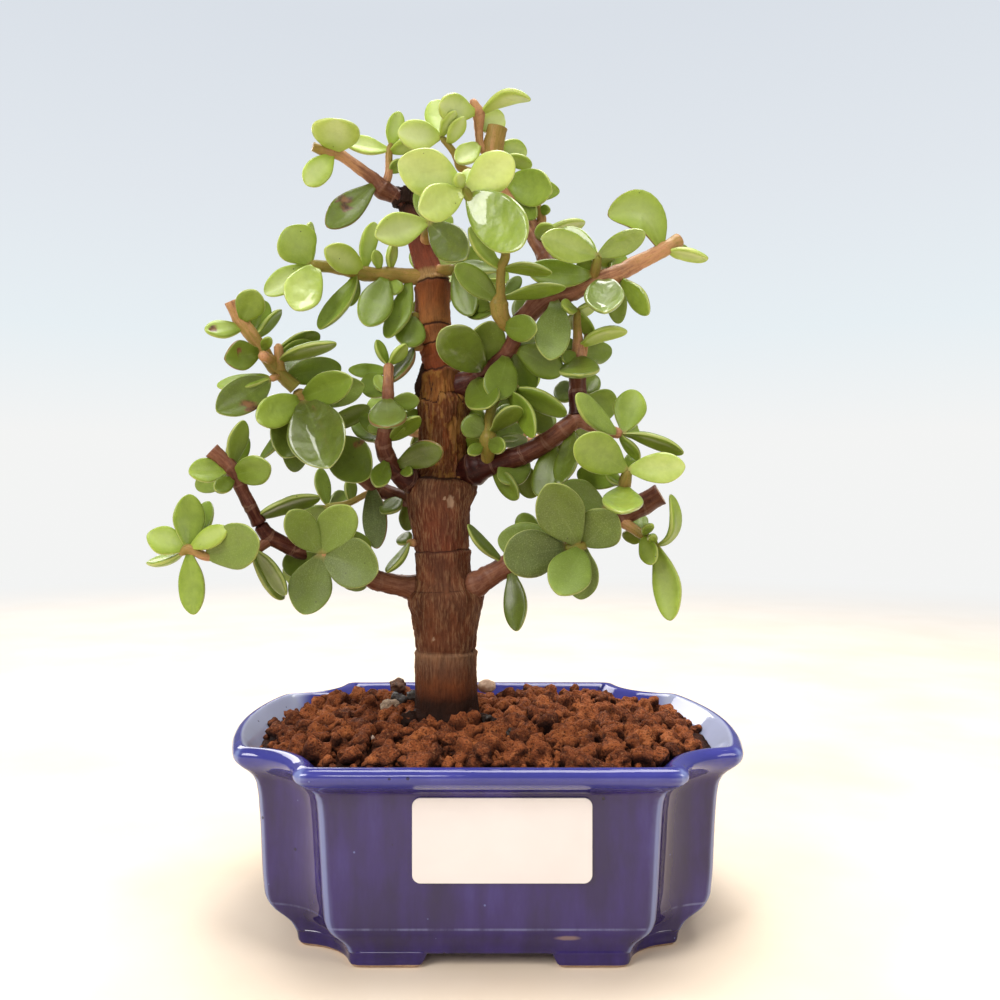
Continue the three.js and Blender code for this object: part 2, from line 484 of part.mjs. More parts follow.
    [48.4, 98.4, -15, 52.3, 77.4, -19.5, 9, 32],
    [47.8, 99.6, -15, 46.8, 101.6, -21, 3, 0],
  ]],
  ["branch_back_low", [
    [[-12.7, 99, 6, 2.4], [-12.5, 103, 18, 2], [-11.5, 107, 26, 1.8], [-12, 112, 33, 1.5]],
    [[-12.4, 103.4, 20, 1.4], [-13.4, 99, 25, 1.2], [-13, 95.4, 31, 1.1]],
  ], [
    [-11.4, 105.6, 22, -6.6, 105.9, 29, 8, 55],
    [-13, 98, 27, -16.6, 92, 32, 8, 0],
    [-13.2, 98, 27, -8.6, 93.6, 33, 8, 20],
    [-13, 95.4, 31, -12.4, 88.4, 37, 9, 0],
    [-13, 95.6, 31, -11.8, 98.4, 41, 9, 0],
    [-12, 110, 30, -17.4, 113.6, 34, 10, 0],
    [-12, 112, 33, -10.4, 121, 36, 9, 0],
    [-12, 111.6, 33, -7.6, 107, 42, 9, 0],
    [-12.2, 112, 33, -16, 107, 42, 9, 0],
  ]],
  ["branch_back_middle", [
    [[-12.5, 127, 6, 2.4], [-12.5, 131, 17, 2], [-13.5, 137, 26, 1.8], [-11, 143, 34, 1.5]],
    [[-12.8, 131.4, 18, 1.4], [-21, 131, 24, 1.2], [-28.6, 134.4, 29, 1.1]],
  ], [
    [-13, 134.4, 23, -8.2, 130, 31, 9, 0],
    [-13.4, 137, 26, -17.6, 144.6, 31, 9, 0],
    [-12.6, 139.4, 29, -3.6, 143.4, 35, 10, 0],
    [-11, 143, 34, -11.4, 152, 38, 9, 0],
    [-11, 142.6, 34, -15.6, 137.6, 43, 9, 0],
    [-10.8, 143, 34, -4.4, 146.6, 42, 10, 0],
    [-20, 131, 23, -17, 126, 31, 8, 0],
    [-21, 131.2, 24, -22.4, 137.6, 31, 8, 0],
    [-28.4, 134.4, 29, -31.6, 141.6, 34, 9, 0],
    [-28.4, 134.2, 29, -33.6, 129, 35, 9, 0],
    [-28.4, 134.4, 29, -27.4, 136.6, 39, 9, 0],
  ]],
  ["branch_back_high", [
    [[-15.6, 166, 7, 2.2], [-15.2, 169, 17, 1.9], [-16, 176, 25, 1.6], [-14.5, 186, 30, 1.4]],
    [[-15.2, 169.6, 18, 1.3], [-8, 170.4, 24, 1.2], [-1, 174.4, 28, 1]],
  ], [
    [-15.2, 170, 19, -19.6, 163, 24, 8, 0],
    [-15.6, 173.4, 22, -12, 166.6, 29, 8, 0],
    [-16, 177, 25, -20, 184.6, 28, 9, 0],
    [-15.6, 179.4, 27, -9.4, 184, 32, 10, 0],
    [-14.6, 186, 30, -14.8, 195, 33, 10, 0],
    [-14.6, 185.6, 30, -20.6, 188.6, 38, 10, 0],
    [-14.6, 185, 30, -14.8, 178.6, 38, 9, 0],
    [-8, 170.4, 24, -8.6, 176.6, 30, 8, 0],
    [-7, 171, 24.5, -2, 167.4, 32, 8, 0],
    [-1, 174.4, 28, 5, 179, 32, 9, 0],
    [-1, 174.4, 28, 4, 169, 33, 8, 0],
    [-1, 174.4, 28, -2, 175.6, 38, 9, 0],
  ]],
  ["branch_back_right", [
    [[-9.5, 121, 6, 2.2], [2, 122.8, 16, 1.9], [9, 127.6, 24, 1.7], [9.4, 136, 29, 1.5], [7, 146, 32, 1.4]],
    [[8.8, 127.6, 24, 1.3], [17, 130, 28, 1.2], [25, 134.6, 30, 1]],
  ], [
    [4.6, 124.6, 19, 7, 118.6, 26, 6.5, 0],
    [17, 130, 28, 19.6, 125, 35, 7, 0],
    [16, 130, 28, 15.4, 137, 33, 8, 0],
    [25, 134.6, 30, 31, 139.6, 33, 9, 0],
    [25, 134.4, 30, 31.4, 131.4, 35, 8, 0],
    [25, 134.6, 30, 24, 135.4, 40, 9, 0],
    [9.4, 133, 27, 4, 130.4, 34, 7, 0],
    [8.8, 139.4, 30, 3, 142.6, 37, 9, 0],
    [7, 146, 32, 1.4, 151.4, 36, 10, 0],
    [7, 146, 32, 14.6, 149.6, 35, 10, 0],
    [7, 146, 32, 7.4, 141, 41, 9, 0],
  ]],
  ["branch_back_left", [
    [[-15, 89.5, 7, 2.4], [-24, 88.4, 16, 2], [-36, 91.6, 23, 1.8], [-43, 96.4, 27, 1.6], [-45, 104, 30, 1.4]],
    [[-36, 91.8, 23, 1.3], [-44, 91, 28, 1.1], [-52, 92.6, 31, 1]],
  ], [
    [-37, 92.2, 25, -38.6, 86, 31, 8, 0],
    [-37.4, 93, 23, -34.4, 96.4, 30, 6, 0],
    [-52, 92.6, 31, -57, 88.6, 36, 8, 0],
    [-52, 92.6, 31, -54.6, 96.6, 37, 8, 0],
    [-52, 92.6, 31, -49.6, 91.6, 40, 9, 0],
    [-43.4, 97.6, 28, -37.6, 100, 35, 8, 0],
    [-45, 104, 30, -42, 109.6, 34, 9, 0],
    [-45, 104, 30, -52.4, 107, 34, 8, 0],
    [-45, 103.4, 30, -44.6, 100.6, 39, 8, 0],
  ]],
];

// Loose stones on the soil: name, place, sizes, turn, colour.
const STONES = [
  ["stone_pale", [2, 34, 51.2], [6, 5, 4.4], 0.3, 0xd8b49c],
  ["stone_speckled", [-27.4, 8, 51], [5.8, 5.2, 4.4], 0.8, 0xa79a8c],
  ["stone_white", [-30.3, -24, 49.2], [3.6, 3.2, 2.8], 0.2, 0xe6e0d6],
  ["stone_brown", [-26.6, 34, 50.9], [5.6, 5, 4.4], 1.1, 0x5a3a2a],
];

const COLOURS = {
  glaze: 0x1b2f6b,
  soil: 0x8a4630,
  bark: 0x5a3a28,
  leaf: 0x6f9a2c,
  label: 0xf4f3f0,
  screen: 0x2a2b2d,
};

// A repeatable number from -1 to 1 for a given seed.
function scatter(seed) {
  const wave = Math.sin(seed * 127.1 + 311.7) * 43758.5453;
  return 2 * (wave - Math.floor(wave)) - 1;
}

// The point at a depth on the line of sight through (x, z) of the sight plane.
function sighted(x, z, depth) {
  const reach = (depth - EYE.y) / -EYE.y;
  const across = (SIGHT_START + x - EYE.x) * reach;
  return new THREE.Vector3(EYE.x + across, depth, EYE.z + (z - EYE.z) * reach);
}

function sightScale(depth) {
  return (depth - EYE.y) / -EYE.y;
}

// One closed solid for cutting and joining from a three.js geometry.
function solidOf(geometry) {
  const bare = geometry.index ? geometry.toNonIndexed() : geometry.clone();
  bare.deleteAttribute("normal");
  bare.deleteAttribute("uv");
  const merged = mergeVertices(bare, 1e-4);
  const corners = merged.index.array;
  const kept = [];
  for (let i = 0; i < corners.length; i += 3) {
    const [a, b, c] = [corners[i], corners[i + 1], corners[i + 2]];
    if (a !== b && b !== c && c !== a) kept.push(a, b, c);
  }
  const mesh = new wasm.Mesh({
    numProp: 3,
    vertProperties: new Float32Array(merged.attributes.position.array),
    triVerts: new Uint32Array(kept),
  });
  return new wasm.Manifold(mesh);
}

function geometryOf(solid) {
  const mesh = solid.getMesh();
  const geometry = new THREE.BufferGeometry();
  geometry.setAttribute("position", new THREE.BufferAttribute(new Float32Array(mesh.vertProperties), 3));
  geometry.setIndex(new THREE.BufferAttribute(new Uint32Array(mesh.triVerts), 1));
  geometry.computeVertexNormals();
  return geometry;
}

function joined(solids) {
  return solids.reduce((whole, solid) => whole.add(solid));
}

// Moves every vertex of a geometry to where place(vertex) puts it.
function reshaped(geometry, place) {
  const position = geometry.attributes.position;
  const vertex = new THREE.Vector3();
  for (let i = 0; i < position.count; i += 1) {
    vertex.fromBufferAttribute(position, i);
    const moved = place(vertex);
    position.setXYZ(i, moved.x, moved.y, moved.z);
  }
  return geometry;
}

// The outline of a level: a rectangle with a hollow quarter round cut from each corner
// and with bowed ends.
function outlinePoints([, halfLength, halfDepth, frontHalf, sideHalf, bow]) {
  const corner = [];
  for (let i = 0; i <= NOTCH_STEPS; i += 1) {
    const angle = (Math.PI / 2) * (i / NOTCH_STEPS);
    corner.push([
      halfLength - (halfLength - frontHalf) * Math.sin(angle),
      halfDepth - (halfDepth - sideHalf) * Math.cos(angle),
    ]);
  }
  const end = [];
  for (let i = 1; i < END_STEPS; i += 1) {
    const y = sideHalf * (2 * (i / END_STEPS) - 1);
    end.push([halfLength + bow * (1 - (y / sideHalf) ** 2), y]);
  }
  const right = [
    ...corner.toReversed().map(([x, y]) => [x, -y]),
    ...end,
    ...corner,
  ];
  return [...right, ...right.map(([x, y]) => [-x, -y])];
}

// A closed solid through a stack of outlines: a cylinder whose rings take their shape.
function lofted(levels, outlineAt = outlinePoints) {
  const rings = levels.map(outlineAt);
  const sides = rings[0].length;
  const rows = levels.length - 1;
  const cylinder = new THREE.CylinderGeometry(1, 1, rows, sides, rows);
  return reshaped(cylinder, ({ x, y, z }) => {
    const row = Math.round(y + rows / 2);
    const level = levels[row];
    if (Math.hypot(x, z) < 0.5) return new THREE.Vector3(0, 0, level[0]);
    const turn = Math.atan2(x, z) / (2 * Math.PI);
    const index = ((Math.round(turn * sides) % sides) + sides) % sides;
    const [px, py] = rings[row][index];
    return new THREE.Vector3(px, py, level[0] + (level[6] ? level[6] * scatter(index * 7 + row * 31) : 0));
  });
}

function shiftedBox(sx, sy, sz, x, y, z) {
  return new THREE.BoxGeometry(sx, sy, sz).translate(x, y, z);
}

function drainHole(x) {
  const hole = new THREE.CylinderGeometry(DRAIN_RADIUS, DRAIN_RADIUS, 12, 16);
  return solidOf(hole.rotateX(Math.PI / 2).translate(x, 0, 6));
}

// The gap between two feet: a long prism with sloped ends.
function footGap() {
  const section = new THREE.Shape();
  section.moveTo(-FOOT_GAP_FRONT, -1);
  section.lineTo(FOOT_GAP_FRONT, -1);
  section.lineTo(FOOT_GAP_FRONT_TOP, FOOT_HEIGHT + 0.4);
  section.lineTo(-FOOT_GAP_FRONT_TOP, FOOT_HEIGHT + 0.4);
  const prism = new THREE.ExtrudeGeometry(section, { depth: 120, bevelEnabled: false });
  return solidOf(prism.translate(0, 0, -60).rotateX(Math.PI / 2));
}

function potSolid() {
  const feet = solidOf(lofted(FEET_OUTSIDE))
    .subtract(solidOf(lofted(FEET_INSIDE)))
    .subtract(footGap())
    .subtract(solidOf(shiftedBox(140, 2 * FOOT_GAP_SIDE, 6, 0, 0, 2)));
  const shell = solidOf(lofted(POT_OUTSIDE)).subtract(solidOf(lofted(POT_INSIDE)));
  return shell.add(feet).subtract(drainHole(-DRAIN_X)).subtract(drainHole(DRAIN_X));
}

// The soil fills the pot up to a low, lumpy mound.
function soilLevels() {
  const inset = ([z, a, b, c, d, bow], share = 1) => [z, (a - CLEARANCE) * share, (b - CLEARANCE) * share,
    (c - CLEARANCE) * share, (d - CLEARANCE) * share, bow * share];
  const wall = POT_INSIDE[2];
  const flare = POT_INSIDE[3];
  const mound = (z, share, lumps) => [...inset([z, ...wall.slice(1)], share), lumps];
  return [
    [...inset([FLOOR_TOP + CLEARANCE, ...POT_INSIDE[0].slice(1)]), 0],
    [...inset([12, ...POT_INSIDE[1].slice(1)]), 0],
    [...inset([42, ...wall.slice(1)]), 0],
    [...inset([45, ...flare.slice(1)]), 0],
    [...inset([47.6, ...flare.slice(1)], 0.99), 0.25],
    mound(48.9, 0.88, 0.6),
    mound(49.9, 0.66, 0.8),
    mound(50.8, 0.4, 0.8),
    mound(51.2, 0.17, 0.5),
  ];
}

// The mound leans: it lies a little higher at the back.
function soilSolid() {
  const mound = reshaped(lofted(soilLevels()), ({ x, y, z }) => {
    const share = THREE.MathUtils.smoothstep(z, 45, 48);
    return new THREE.Vector3(x, y, z + share * SOIL_LEAN * y);
  });
  return solidOf(mound);
}

function stoneSolid([, [x, y, z], [sx, sy, sz], turn], grow = 0) {
  const ball = new THREE.IcosahedronGeometry(0.5, 1);
  ball.scale(sx + 2 * grow, sy + 2 * grow, sz + 2 * grow);
  return solidOf(ball.rotateZ(turn).translate(x, y, z));
}

function screenBox(x, grow = 0) {
  const side = SCREEN_SIDE + 2 * grow;
  const z = FLOOR_TOP + CLEARANCE + SCREEN_THICKNESS / 2;
  return solidOf(shiftedBox(side, side, SCREEN_THICKNESS + 2 * grow, x, 0, z));
}

// A tube through a list of sighted points with its own radius at each.
function tubeSolid(points, sides, stepsPerSpan, grow = 0) {
  const places = points.map(([x, z, depth]) => sighted(x, z, depth));
  const radii = points.map(([, , depth, radius]) => radius * sightScale(depth));
  const curve = new THREE.CatmullRomCurve3(places, false, "centripetal");
  const rows = (points.length - 1) * stepsPerSpan;
  const reach = places.at(-1).clone().sub(places[0]).normalize();
  const reference = Math.abs(reach.y) > 0.75 ? new THREE.Vector3(0, 0, 1) : new THREE.Vector3(0, -1, 0);
  const rings = [];
  for (let row = 0; row <= rows; row += 1) {
    const share = row / rows;
    const along = curve.getTangent(share);
    const centre = curve.getPoint(share);
    if (row === 0) centre.addScaledVector(along, -grow);
    if (row === rows) centre.addScaledVector(along, grow);
    const normal = reference.clone().addScaledVector(along, -reference.dot(along)).normalize();
    const side = normal.clone().cross(along);
    const span = Math.min(Math.floor(row / stepsPerSpan), points.length - 2);
    const radius = THREE.MathUtils.lerp(radii[span], radii[span + 1], row / stepsPerSpan - span) + grow;
    rings.push({ centre, side, normal, radius });
  }
  const cylinder = new THREE.CylinderGeometry(1, 1, rows, sides, rows);
  return solidOf(reshaped(cylinder, ({ x, y, z }) => {
    const { centre, side, normal, radius } = rings[Math.round(rows / 2 - y)];
    return centre.clone().addScaledVector(side, x * radius).addScaledVector(normal, z * radius);
  }));
}

// The point on the middle lines of some tubes that is nearest to a place.
function nearestOnTubes(tubes, place) {
  let nearest = null;
  for (const points of tubes) {
    const places = points.map(([x, z, depth]) => sighted(x, z, depth));
    for (let i = 0; i + 1 < places.length; i += 1) {
      for (let step = 1; step < MIDDLE_LINE_STEPS - 1; step += 1) {
        const point = places[i].clone().lerp(places[i + 1], step / MIDDLE_LINE_STEPS);
        if (!nearest || point.distanceTo(place) < nearest.distanceTo(place)) nearest = point;
      }
    }
  }
  return nearest;
}

// A leaf: a ball of four sides and a few rings, drawn out from its twig to its tip.
function leafSolid([bx, bz, by, tx, tz, ty, width, turn, bendX, bendZ], tubes, grow = 0) {
  const base = sighted(bx, bz, by);
  const tip = sighted(tx, tz, ty);
  const reach = tip.clone().sub(base);
  const length = reach.length();
  const straight = reach.clone().normalize();
  const toEye = EYE.clone().sub(base);
  const facing = toEye.addScaledVector(straight, -toEye.dot(straight)).normalize();
  facing.applyAxisAngle(straight, THREE.MathUtils.degToRad(turn));
  const middle = base.clone().lerp(tip, 0.5);
  const bend = bendX === undefined
    ? middle.clone().addScaledVector(facing, -2 * LEAF_CAMBER * length)
    : sighted(bendX, bendZ, (by + ty) / 2);
  const spine = new THREE.QuadraticBezierCurve3(base, bend, tip);
  const half = (width * sightScale((by + ty) / 2)) / 2;
  const profile = width < SMALL_LEAF_WIDTH ? SMALL_LEAF_RINGS : LEAF_RINGS;
  const last = profile.length - 1;
  const rings = profile.map(([station, wide, deep], i) => {
    const along = spine.getTangent(station);
    const normal = facing.clone().addScaledVector(along, -facing.dot(along)).normalize();
    const side = normal.clone().cross(along);
    const centre = i === 0 ? nearestOnTubes(tubes, base) : spine.getPoint(station);
    if (i === last) centre.addScaledVector(along, grow);
    return { centre, side, normal, wide: half * wide, deep: (LEAF_THICKNESS / 2) * deep };
  });
  const ball = new THREE.SphereGeometry(1, 4, last);
  return solidOf(reshaped(ball, ({ x, y, z }) => {
    const row = Math.round((Math.acos(THREE.MathUtils.clamp(y, -1, 1)) / Math.PI) * last);
    const { centre, side, normal, wide, deep } = rings[row];
    const swing = row === 0 || row === last ? 0 : 1 / Math.hypot(x, z);
    return centre.clone()
      .addScaledVector(side, x * swing * (wide + grow))
      .addScaledVector(normal, z * swing * (deep + grow));
  }));
}

function trunkSolid(grow = 0) {
  const stem = tubeSolid(TRUNK, TRUNK_SIDES, 1, grow);
  const roots = TRUNK_ROOTS.map((root) => tubeSolid(root, TWIG_SIDES, 1, grow));
  const spikes = TRUNK_SPIKES.map((spike) => tubeSolid(spike, TWIG_SIDES, 1, grow));
  return joined([stem, ...roots, ...spikes]);
}

function shootSolid([name, tubes, leaves], grow = 0) {
  const sides = name.startsWith("branch") ? BRANCH_SIDES : TWIG_SIDES;
  const stems = tubes.map((points) => tubeSolid(points, sides, 1, grow));
  return joined([...stems, ...leaves.map((leaf) => leafSolid(leaf, tubes, grow))]);
}

function boxesMeet(one, other) {
  const [a, b] = [one.boundingBox(), other.boundingBox()];
  return [0, 1, 2].every((i) => a.min[i] < b.max[i] && b.min[i] < a.max[i]);
}

const plant = new THREE.Group();
function addMesh(name, solid, colour, roughness, metalness = 0) {
  const material = new THREE.MeshStandardMaterial({ color: colour, roughness, metalness });
  const mesh = new THREE.Mesh(geometryOf(solid), material);
  mesh.name = name;
  plant.add(mesh);
}

addMesh("pot", potSolid(), COLOURS.glaze, 0.12);

const trunkGrown = trunkSolid(CLEARANCE);
let soil = soilSolid().subtract(trunkGrown);
for (const x of [-DRAIN_X, DRAIN_X]) soil = soil.subtract(screenBox(x, CLEARANCE));
for (const stone of STONES) soil = soil.subtract(stoneSolid(stone, CLEARANCE));
addMesh("soil", soil, COLOURS.soil, 0.95);
addMesh("drain_screen_left", screenBox(-DRAIN_X), COLOURS.screen, 0.6);
addMesh("drain_screen_right", screenBox(DRAIN_X), COLOURS.screen, 0.6);
for (const stone of STONES) addMesh(stone[0], stoneSolid(stone), stone[4], 0.7);

// The label: a thin plate with rounded corners on the front wall.
const labelShape = new THREE.Shape();
const [labelX, labelZ] = [LABEL_LENGTH / 2, LABEL_HEIGHT / 2];
const labelCorners = [[1, -1, -90], [1, 1, 0], [-1, 1, 90], [-1, -1, 180]];
for (const [sx, sz, from] of labelCorners) {
  const start = THREE.MathUtils.degToRad(from);
  labelShape.absarc(sx * (labelX - LABEL_RADIUS), sz * (labelZ - LABEL_RADIUS), LABEL_RADIUS, start, start + Math.PI / 2);
}
labelShape.closePath();
const labelPlate = new THREE.ExtrudeGeometry(labelShape, { depth: LABEL_THICKNESS, bevelEnabled: false, curveSegments: 3 });
const frontWall = POT_OUTSIDE[5][2];
labelPlate.rotateX(Math.PI / 2).translate(LABEL_X, -frontWall - CLEARANCE, LABEL_Z);
addMesh("label", solidOf(labelPlate), COLOURS.label, 0.4);

addMesh("trunk", trunkSolid(), COLOURS.bark, 0.85);
const placed = [trunkGrown];
for (const shoot of SHOOTS) {
  let solid = shootSolid(shoot);
  for (const earlier of placed) {
    if (boxesMeet(solid, earlier)) solid = solid.subtract(earlier);
  }
  placed.push(shootSolid(shoot, CLEARANCE));
  addMesh(shoot[0], solid, COLOURS.leaf, 0.45);
}

// The origin is the middle of the footprint, on the surface that the pot stands on.
const bounds = new THREE.Box3().setFromObject(plant);
const centre = bounds.getCenter(new THREE.Vector3());
plant.position.set(-centre.x, -centre.y, 0);

export default plant;
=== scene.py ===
# %% [markdown]
# # A dwarf jade bonsai in a blue glazed pot
#
# The real object is a small tree with fleshy leaves in a glazed pot about 138 mm long. This
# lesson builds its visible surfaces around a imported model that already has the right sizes.
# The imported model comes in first, and every piece below stands where one of its nodes stands.

import math

import bmesh
import bpy
import numpy as np
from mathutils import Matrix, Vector, noise


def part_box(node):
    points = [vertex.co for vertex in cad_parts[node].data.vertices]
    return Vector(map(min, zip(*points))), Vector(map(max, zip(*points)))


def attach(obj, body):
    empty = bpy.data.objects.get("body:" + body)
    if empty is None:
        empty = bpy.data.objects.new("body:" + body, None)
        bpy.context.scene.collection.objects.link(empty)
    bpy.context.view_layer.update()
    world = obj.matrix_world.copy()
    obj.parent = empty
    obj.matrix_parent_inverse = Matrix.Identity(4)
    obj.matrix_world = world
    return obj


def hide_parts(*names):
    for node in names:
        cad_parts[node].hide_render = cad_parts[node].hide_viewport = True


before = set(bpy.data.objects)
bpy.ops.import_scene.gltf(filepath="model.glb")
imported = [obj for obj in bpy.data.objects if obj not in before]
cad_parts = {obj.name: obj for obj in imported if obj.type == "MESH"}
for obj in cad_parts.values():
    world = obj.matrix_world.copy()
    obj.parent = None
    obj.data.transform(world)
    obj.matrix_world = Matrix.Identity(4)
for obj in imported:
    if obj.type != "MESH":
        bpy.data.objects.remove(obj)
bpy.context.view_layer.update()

# %% [markdown]
# ## Measures
#
# Everything is thought of in millimetres from the middle of the pot's base, as the maker of
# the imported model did, and turned into metres at the last moment. The plant is set out on the
# sight plane: the upright plane through the pot's middle, as it looks from the eye. A point
# with another depth lies on the same line of sight, so `sighted` finds its true place.

# %% Millimetres, the pot's axis and the sight plane
MM = 0.001
EYE = np.array([-8.3, -251.0, 111.8])
SIGHT_START = 0.84
pot_low, pot_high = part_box("pot")
AXIS = np.array([(pot_low.x + pot_high.x) / 2, (pot_low.y + pot_high.y) / 2, 0.0])


def metres(points):
    """Points in millimetres from the pot's axis, as metres in the model's frame."""
    return np.asarray(points, float).reshape(-1, 3) * MM + AXIS


def sighted(x, z, depth):
    """The point at a depth on the line of sight through (x, z) of the sight plane."""
    reach = (depth - EYE[1]) / -EYE[1]
    return np.array([EYE[0] + (SIGHT_START + x - EYE[0]) * reach, depth, EYE[2] + (z - EYE[2]) * reach])


def sight_scale(depth):
    return (depth - EYE[1]) / -EYE[1]


def new_object(name, data):
    """An object in the scene for a mesh, a lamp or a camera."""
    thing = bpy.data.objects.new(name, data)
    bpy.context.scene.collection.objects.link(thing)
    return thing


print("pot axis in metres:", AXIS.round(5))

# %% [markdown]
# ## The camera
#
# A camera lens is fixed by the eye's place and by how many pixels a radian takes. The view is
# level and looks along +Y, so the trunk's sides stay upright and the pot's rim is seen a
# little from above, as in a catalogue picture taken at arm's length.

# %% Camera
LENS_PIXELS = 881
PICTURE_PIXELS = 1000
SENSOR_MM = 36
SHIFT_RIGHT = 0.045

camera_data = bpy.data.cameras.new("camera")
camera_data.sensor_width = SENSOR_MM
camera_data.lens = SENSOR_MM * LENS_PIXELS / PICTURE_PIXELS
camera_data.shift_x = SHIFT_RIGHT
camera_data.clip_start = 0.01
camera = new_object("camera", camera_data)
camera.location = metres(EYE)[0]
camera.rotation_euler = (math.radians(90), 0, 0)
bpy.context.scene.camera = camera

# %% [markdown]
# ## Light, floor and backdrop
#
# The picture is high-key: a nearly white table, a backdrop that turns pale blue upwards, and
# large soft windows whose reflections give the glaze and the wet leaves their shine. Area
# lamps stand in for the windows. A world gradient gives the backdrop and fills the shadows.

# %% Lamps
LAMPS = [
    # name, place, aim, size, power, colour
    ("window_left", (-0.75, -0.75, 0.85), (0, 0, 0.1), (0.45, 0.6), 11.0, (1.0, 0.97, 0.94)),
    ("window_right", (0.85, -0.6, 0.75), (0, 0, 0.1), (0.35, 0.5), 3.2, (1.0, 0.95, 0.89)),
    ("window_front", (-0.12, -1.0, 0.62), (0, 0, 0.12), (0.2, 0.2), 1.5, (1.0, 0.97, 0.94)),
    ("window_top", (0.1, 0.15, 1.1), (0, 0, 0.1), (0.7, 0.75), 15, (1.0, 0.975, 0.94)),
    ("window_back", (-0.4, 0.9, 0.6), (0, 0, 0.15), (0.6, 0.4), 4.0, (1.0, 0.97, 0.94)),
]

for name, place, aim, size, power, colour in LAMPS:
    lamp = bpy.data.lights.new(name, "AREA")
    lamp.shape = "RECTANGLE"
    lamp.size, lamp.size_y = size
    lamp.energy = power
    lamp.color = colour
    holder = new_object(name, lamp)
    holder.location = place
    holder.rotation_euler = (Vector(aim) - Vector(place)).to_track_quat("-Z", "Y").to_euler()

bpy.context.scene.view_settings.view_transform = "Standard"

# %% Helpers for node trees
def plug(socket, value):
    """Gives a socket a plain value, or a link from another node's socket."""
    if isinstance(value, bpy.types.NodeSocket):
        socket.id_data.links.new(value, socket)
    else:
        socket.default_value = value


def feed(node, **values):
    """Plugs values into a node's sockets by their names."""
    for key, value in values.items():
        wanted = key.replace("_", " ").lower()
        plug(next(s for s in node.inputs if s.name.lower() == wanted and s.enabled), value)


def wire(tree, kind, settings=None, **values):
    """Adds a node with its settings, and feeds it."""
    node = tree.nodes.new(kind)
    for key, value in (settings or {}).items():
        setattr(node, key, value)
    feed(node, **values)
    return node


def tree_of(*values):
    """The node tree that the sockets among some values belong to."""
    return next(value.id_data for value in values if isinstance(value, bpy.types.NodeSocket))


def maths(operation, *values):
    """A Math node in the tree of its inputs; returns its output."""
    node = tree_of(*values).nodes.new("ShaderNodeMath")
    node.operation = operation
    for socket, value in zip(node.inputs, values):
        plug(socket, value)
    return node.outputs[0]


def times(first, second):
    return maths("MULTIPLY", first, second)


def plus(first, second):
    return maths("ADD", first, second)


def minus(first, second):
    return maths("SUBTRACT", first, second)


def swayed(value, by, reach):
    """A value moved up and down by a noise that stays around a half."""
    return plus(value, times(minus(by, 0.5), reach))


def steps(share, low, high):
    """A smooth step from 0 at low to 1 at high; low may be the larger."""
    return wire(share.id_data, "ShaderNodeMapRange", {"interpolation_type": "SMOOTHSTEP"},
                Value=share, From_Min=low, From_Max=high).outputs[0]


def noise_at(place, scale, detail, roughness=0.5):
    """Soft noise, mostly near a half; the larger the scale, the finer its lumps."""
    return wire(place.id_data, "ShaderNodeTexNoise", Vector=place, Scale=scale, Detail=detail,
                Roughness=roughness).outputs["Fac"]


def blend_colours(share, low, high, blend="MIX"):
    """A colour Mix node; returns its output. Low and high are colours or sockets."""
    node = tree_of(share, low, high).nodes.new("ShaderNodeMix")
    node.data_type = "RGBA"
    node.blend_type = blend
    for number, value in ((0, share), (6, low), (7, high)):
        plug(node.inputs[number], (*value, 1) if isinstance(value, tuple) else value)
    return node.outputs[2]


def tinted(colour, mask, share, tint, blend="MIX"):
    """A colour blended with a tint by a share of a mask."""
    return blend_colours(times(mask, share), colour, tint, blend)


def ramp(share, stops):
    """A Color Ramp through (place, colour) stops; returns its colour output."""
    node = share.id_data.nodes.new("ShaderNodeValToRGB")
    elements = node.color_ramp.elements
    while len(elements) < len(stops):
        elements.new(0.5)
    for element, (place, colour) in zip(elements, stops):
        element.position = place
        element.color = (*colour, 1)
    plug(node.inputs[0], share)
    return node.outputs[0]


def new_material(name):
    """A material, its tree, the Object coordinates and the Principled BSDF in it."""
    material = bpy.data.materials.new(name)
    material.use_nodes = True
    tree = material.node_tree
    place = wire(tree, "ShaderNodeTexCoord").outputs["Object"]
    return material, tree, place, tree.nodes["Principled BSDF"]

# %% World gradient
HORIZON = (0.9, 0.905, 0.9)
SKY_FILL = 0.3
FILL_COLOUR = (0.94, 0.9, 0.85)

world = bpy.data.worlds.new("studio")
world.use_nodes = True
bpy.context.scene.world = world
sky = world.node_tree
sky_place = wire(sky, "ShaderNodeTexCoord").outputs["Generated"]
sky_height = wire(sky, "ShaderNodeSeparateXYZ", Vector=sky_place).outputs["Z"]
sky_colour = ramp(plus(times(sky_height, 0.5), 0.5), [
    (0.0, (0.93, 0.88, 0.8)), (0.49, HORIZON), (0.535, HORIZON), (0.59, (0.8, 0.865, 0.9)),
    (0.66, (0.755, 0.8, 0.85)), (0.74, (0.7, 0.745, 0.805)), (1.0, (0.85, 0.89, 0.95)),
])
seen_directly = wire(sky, "ShaderNodeLightPath").outputs["Is Camera Ray"]
feed(sky.nodes["Background"], Color=blend_colours(seen_directly, FILL_COLOUR, sky_colour),
     Strength=plus(SKY_FILL, times(seen_directly, 1 - SKY_FILL)))

# %% Floor
FLOOR_HALF = 20.0
BLACK = (0.0, 0.0, 0.0)

floor_cream, tree, place, shader = new_material("floor_cream")
away = wire(tree, "ShaderNodeVectorMath", {"operation": "LENGTH"}, Vector=place).outputs["Value"]
far = steps(away, 0.12, 1.1)
colour = blend_colours(steps(noise_at(place, 14, 5), 0.3, 0.75), (0.87, 0.76, 0.63), (0.81, 0.68, 0.53))
feed(shader, Base_Color=blend_colours(far, colour, BLACK), Roughness=0.8, Specular_IOR_Level=0.0,
     Emission_Color=blend_colours(far, BLACK, HORIZON), Emission_Strength=1.0)

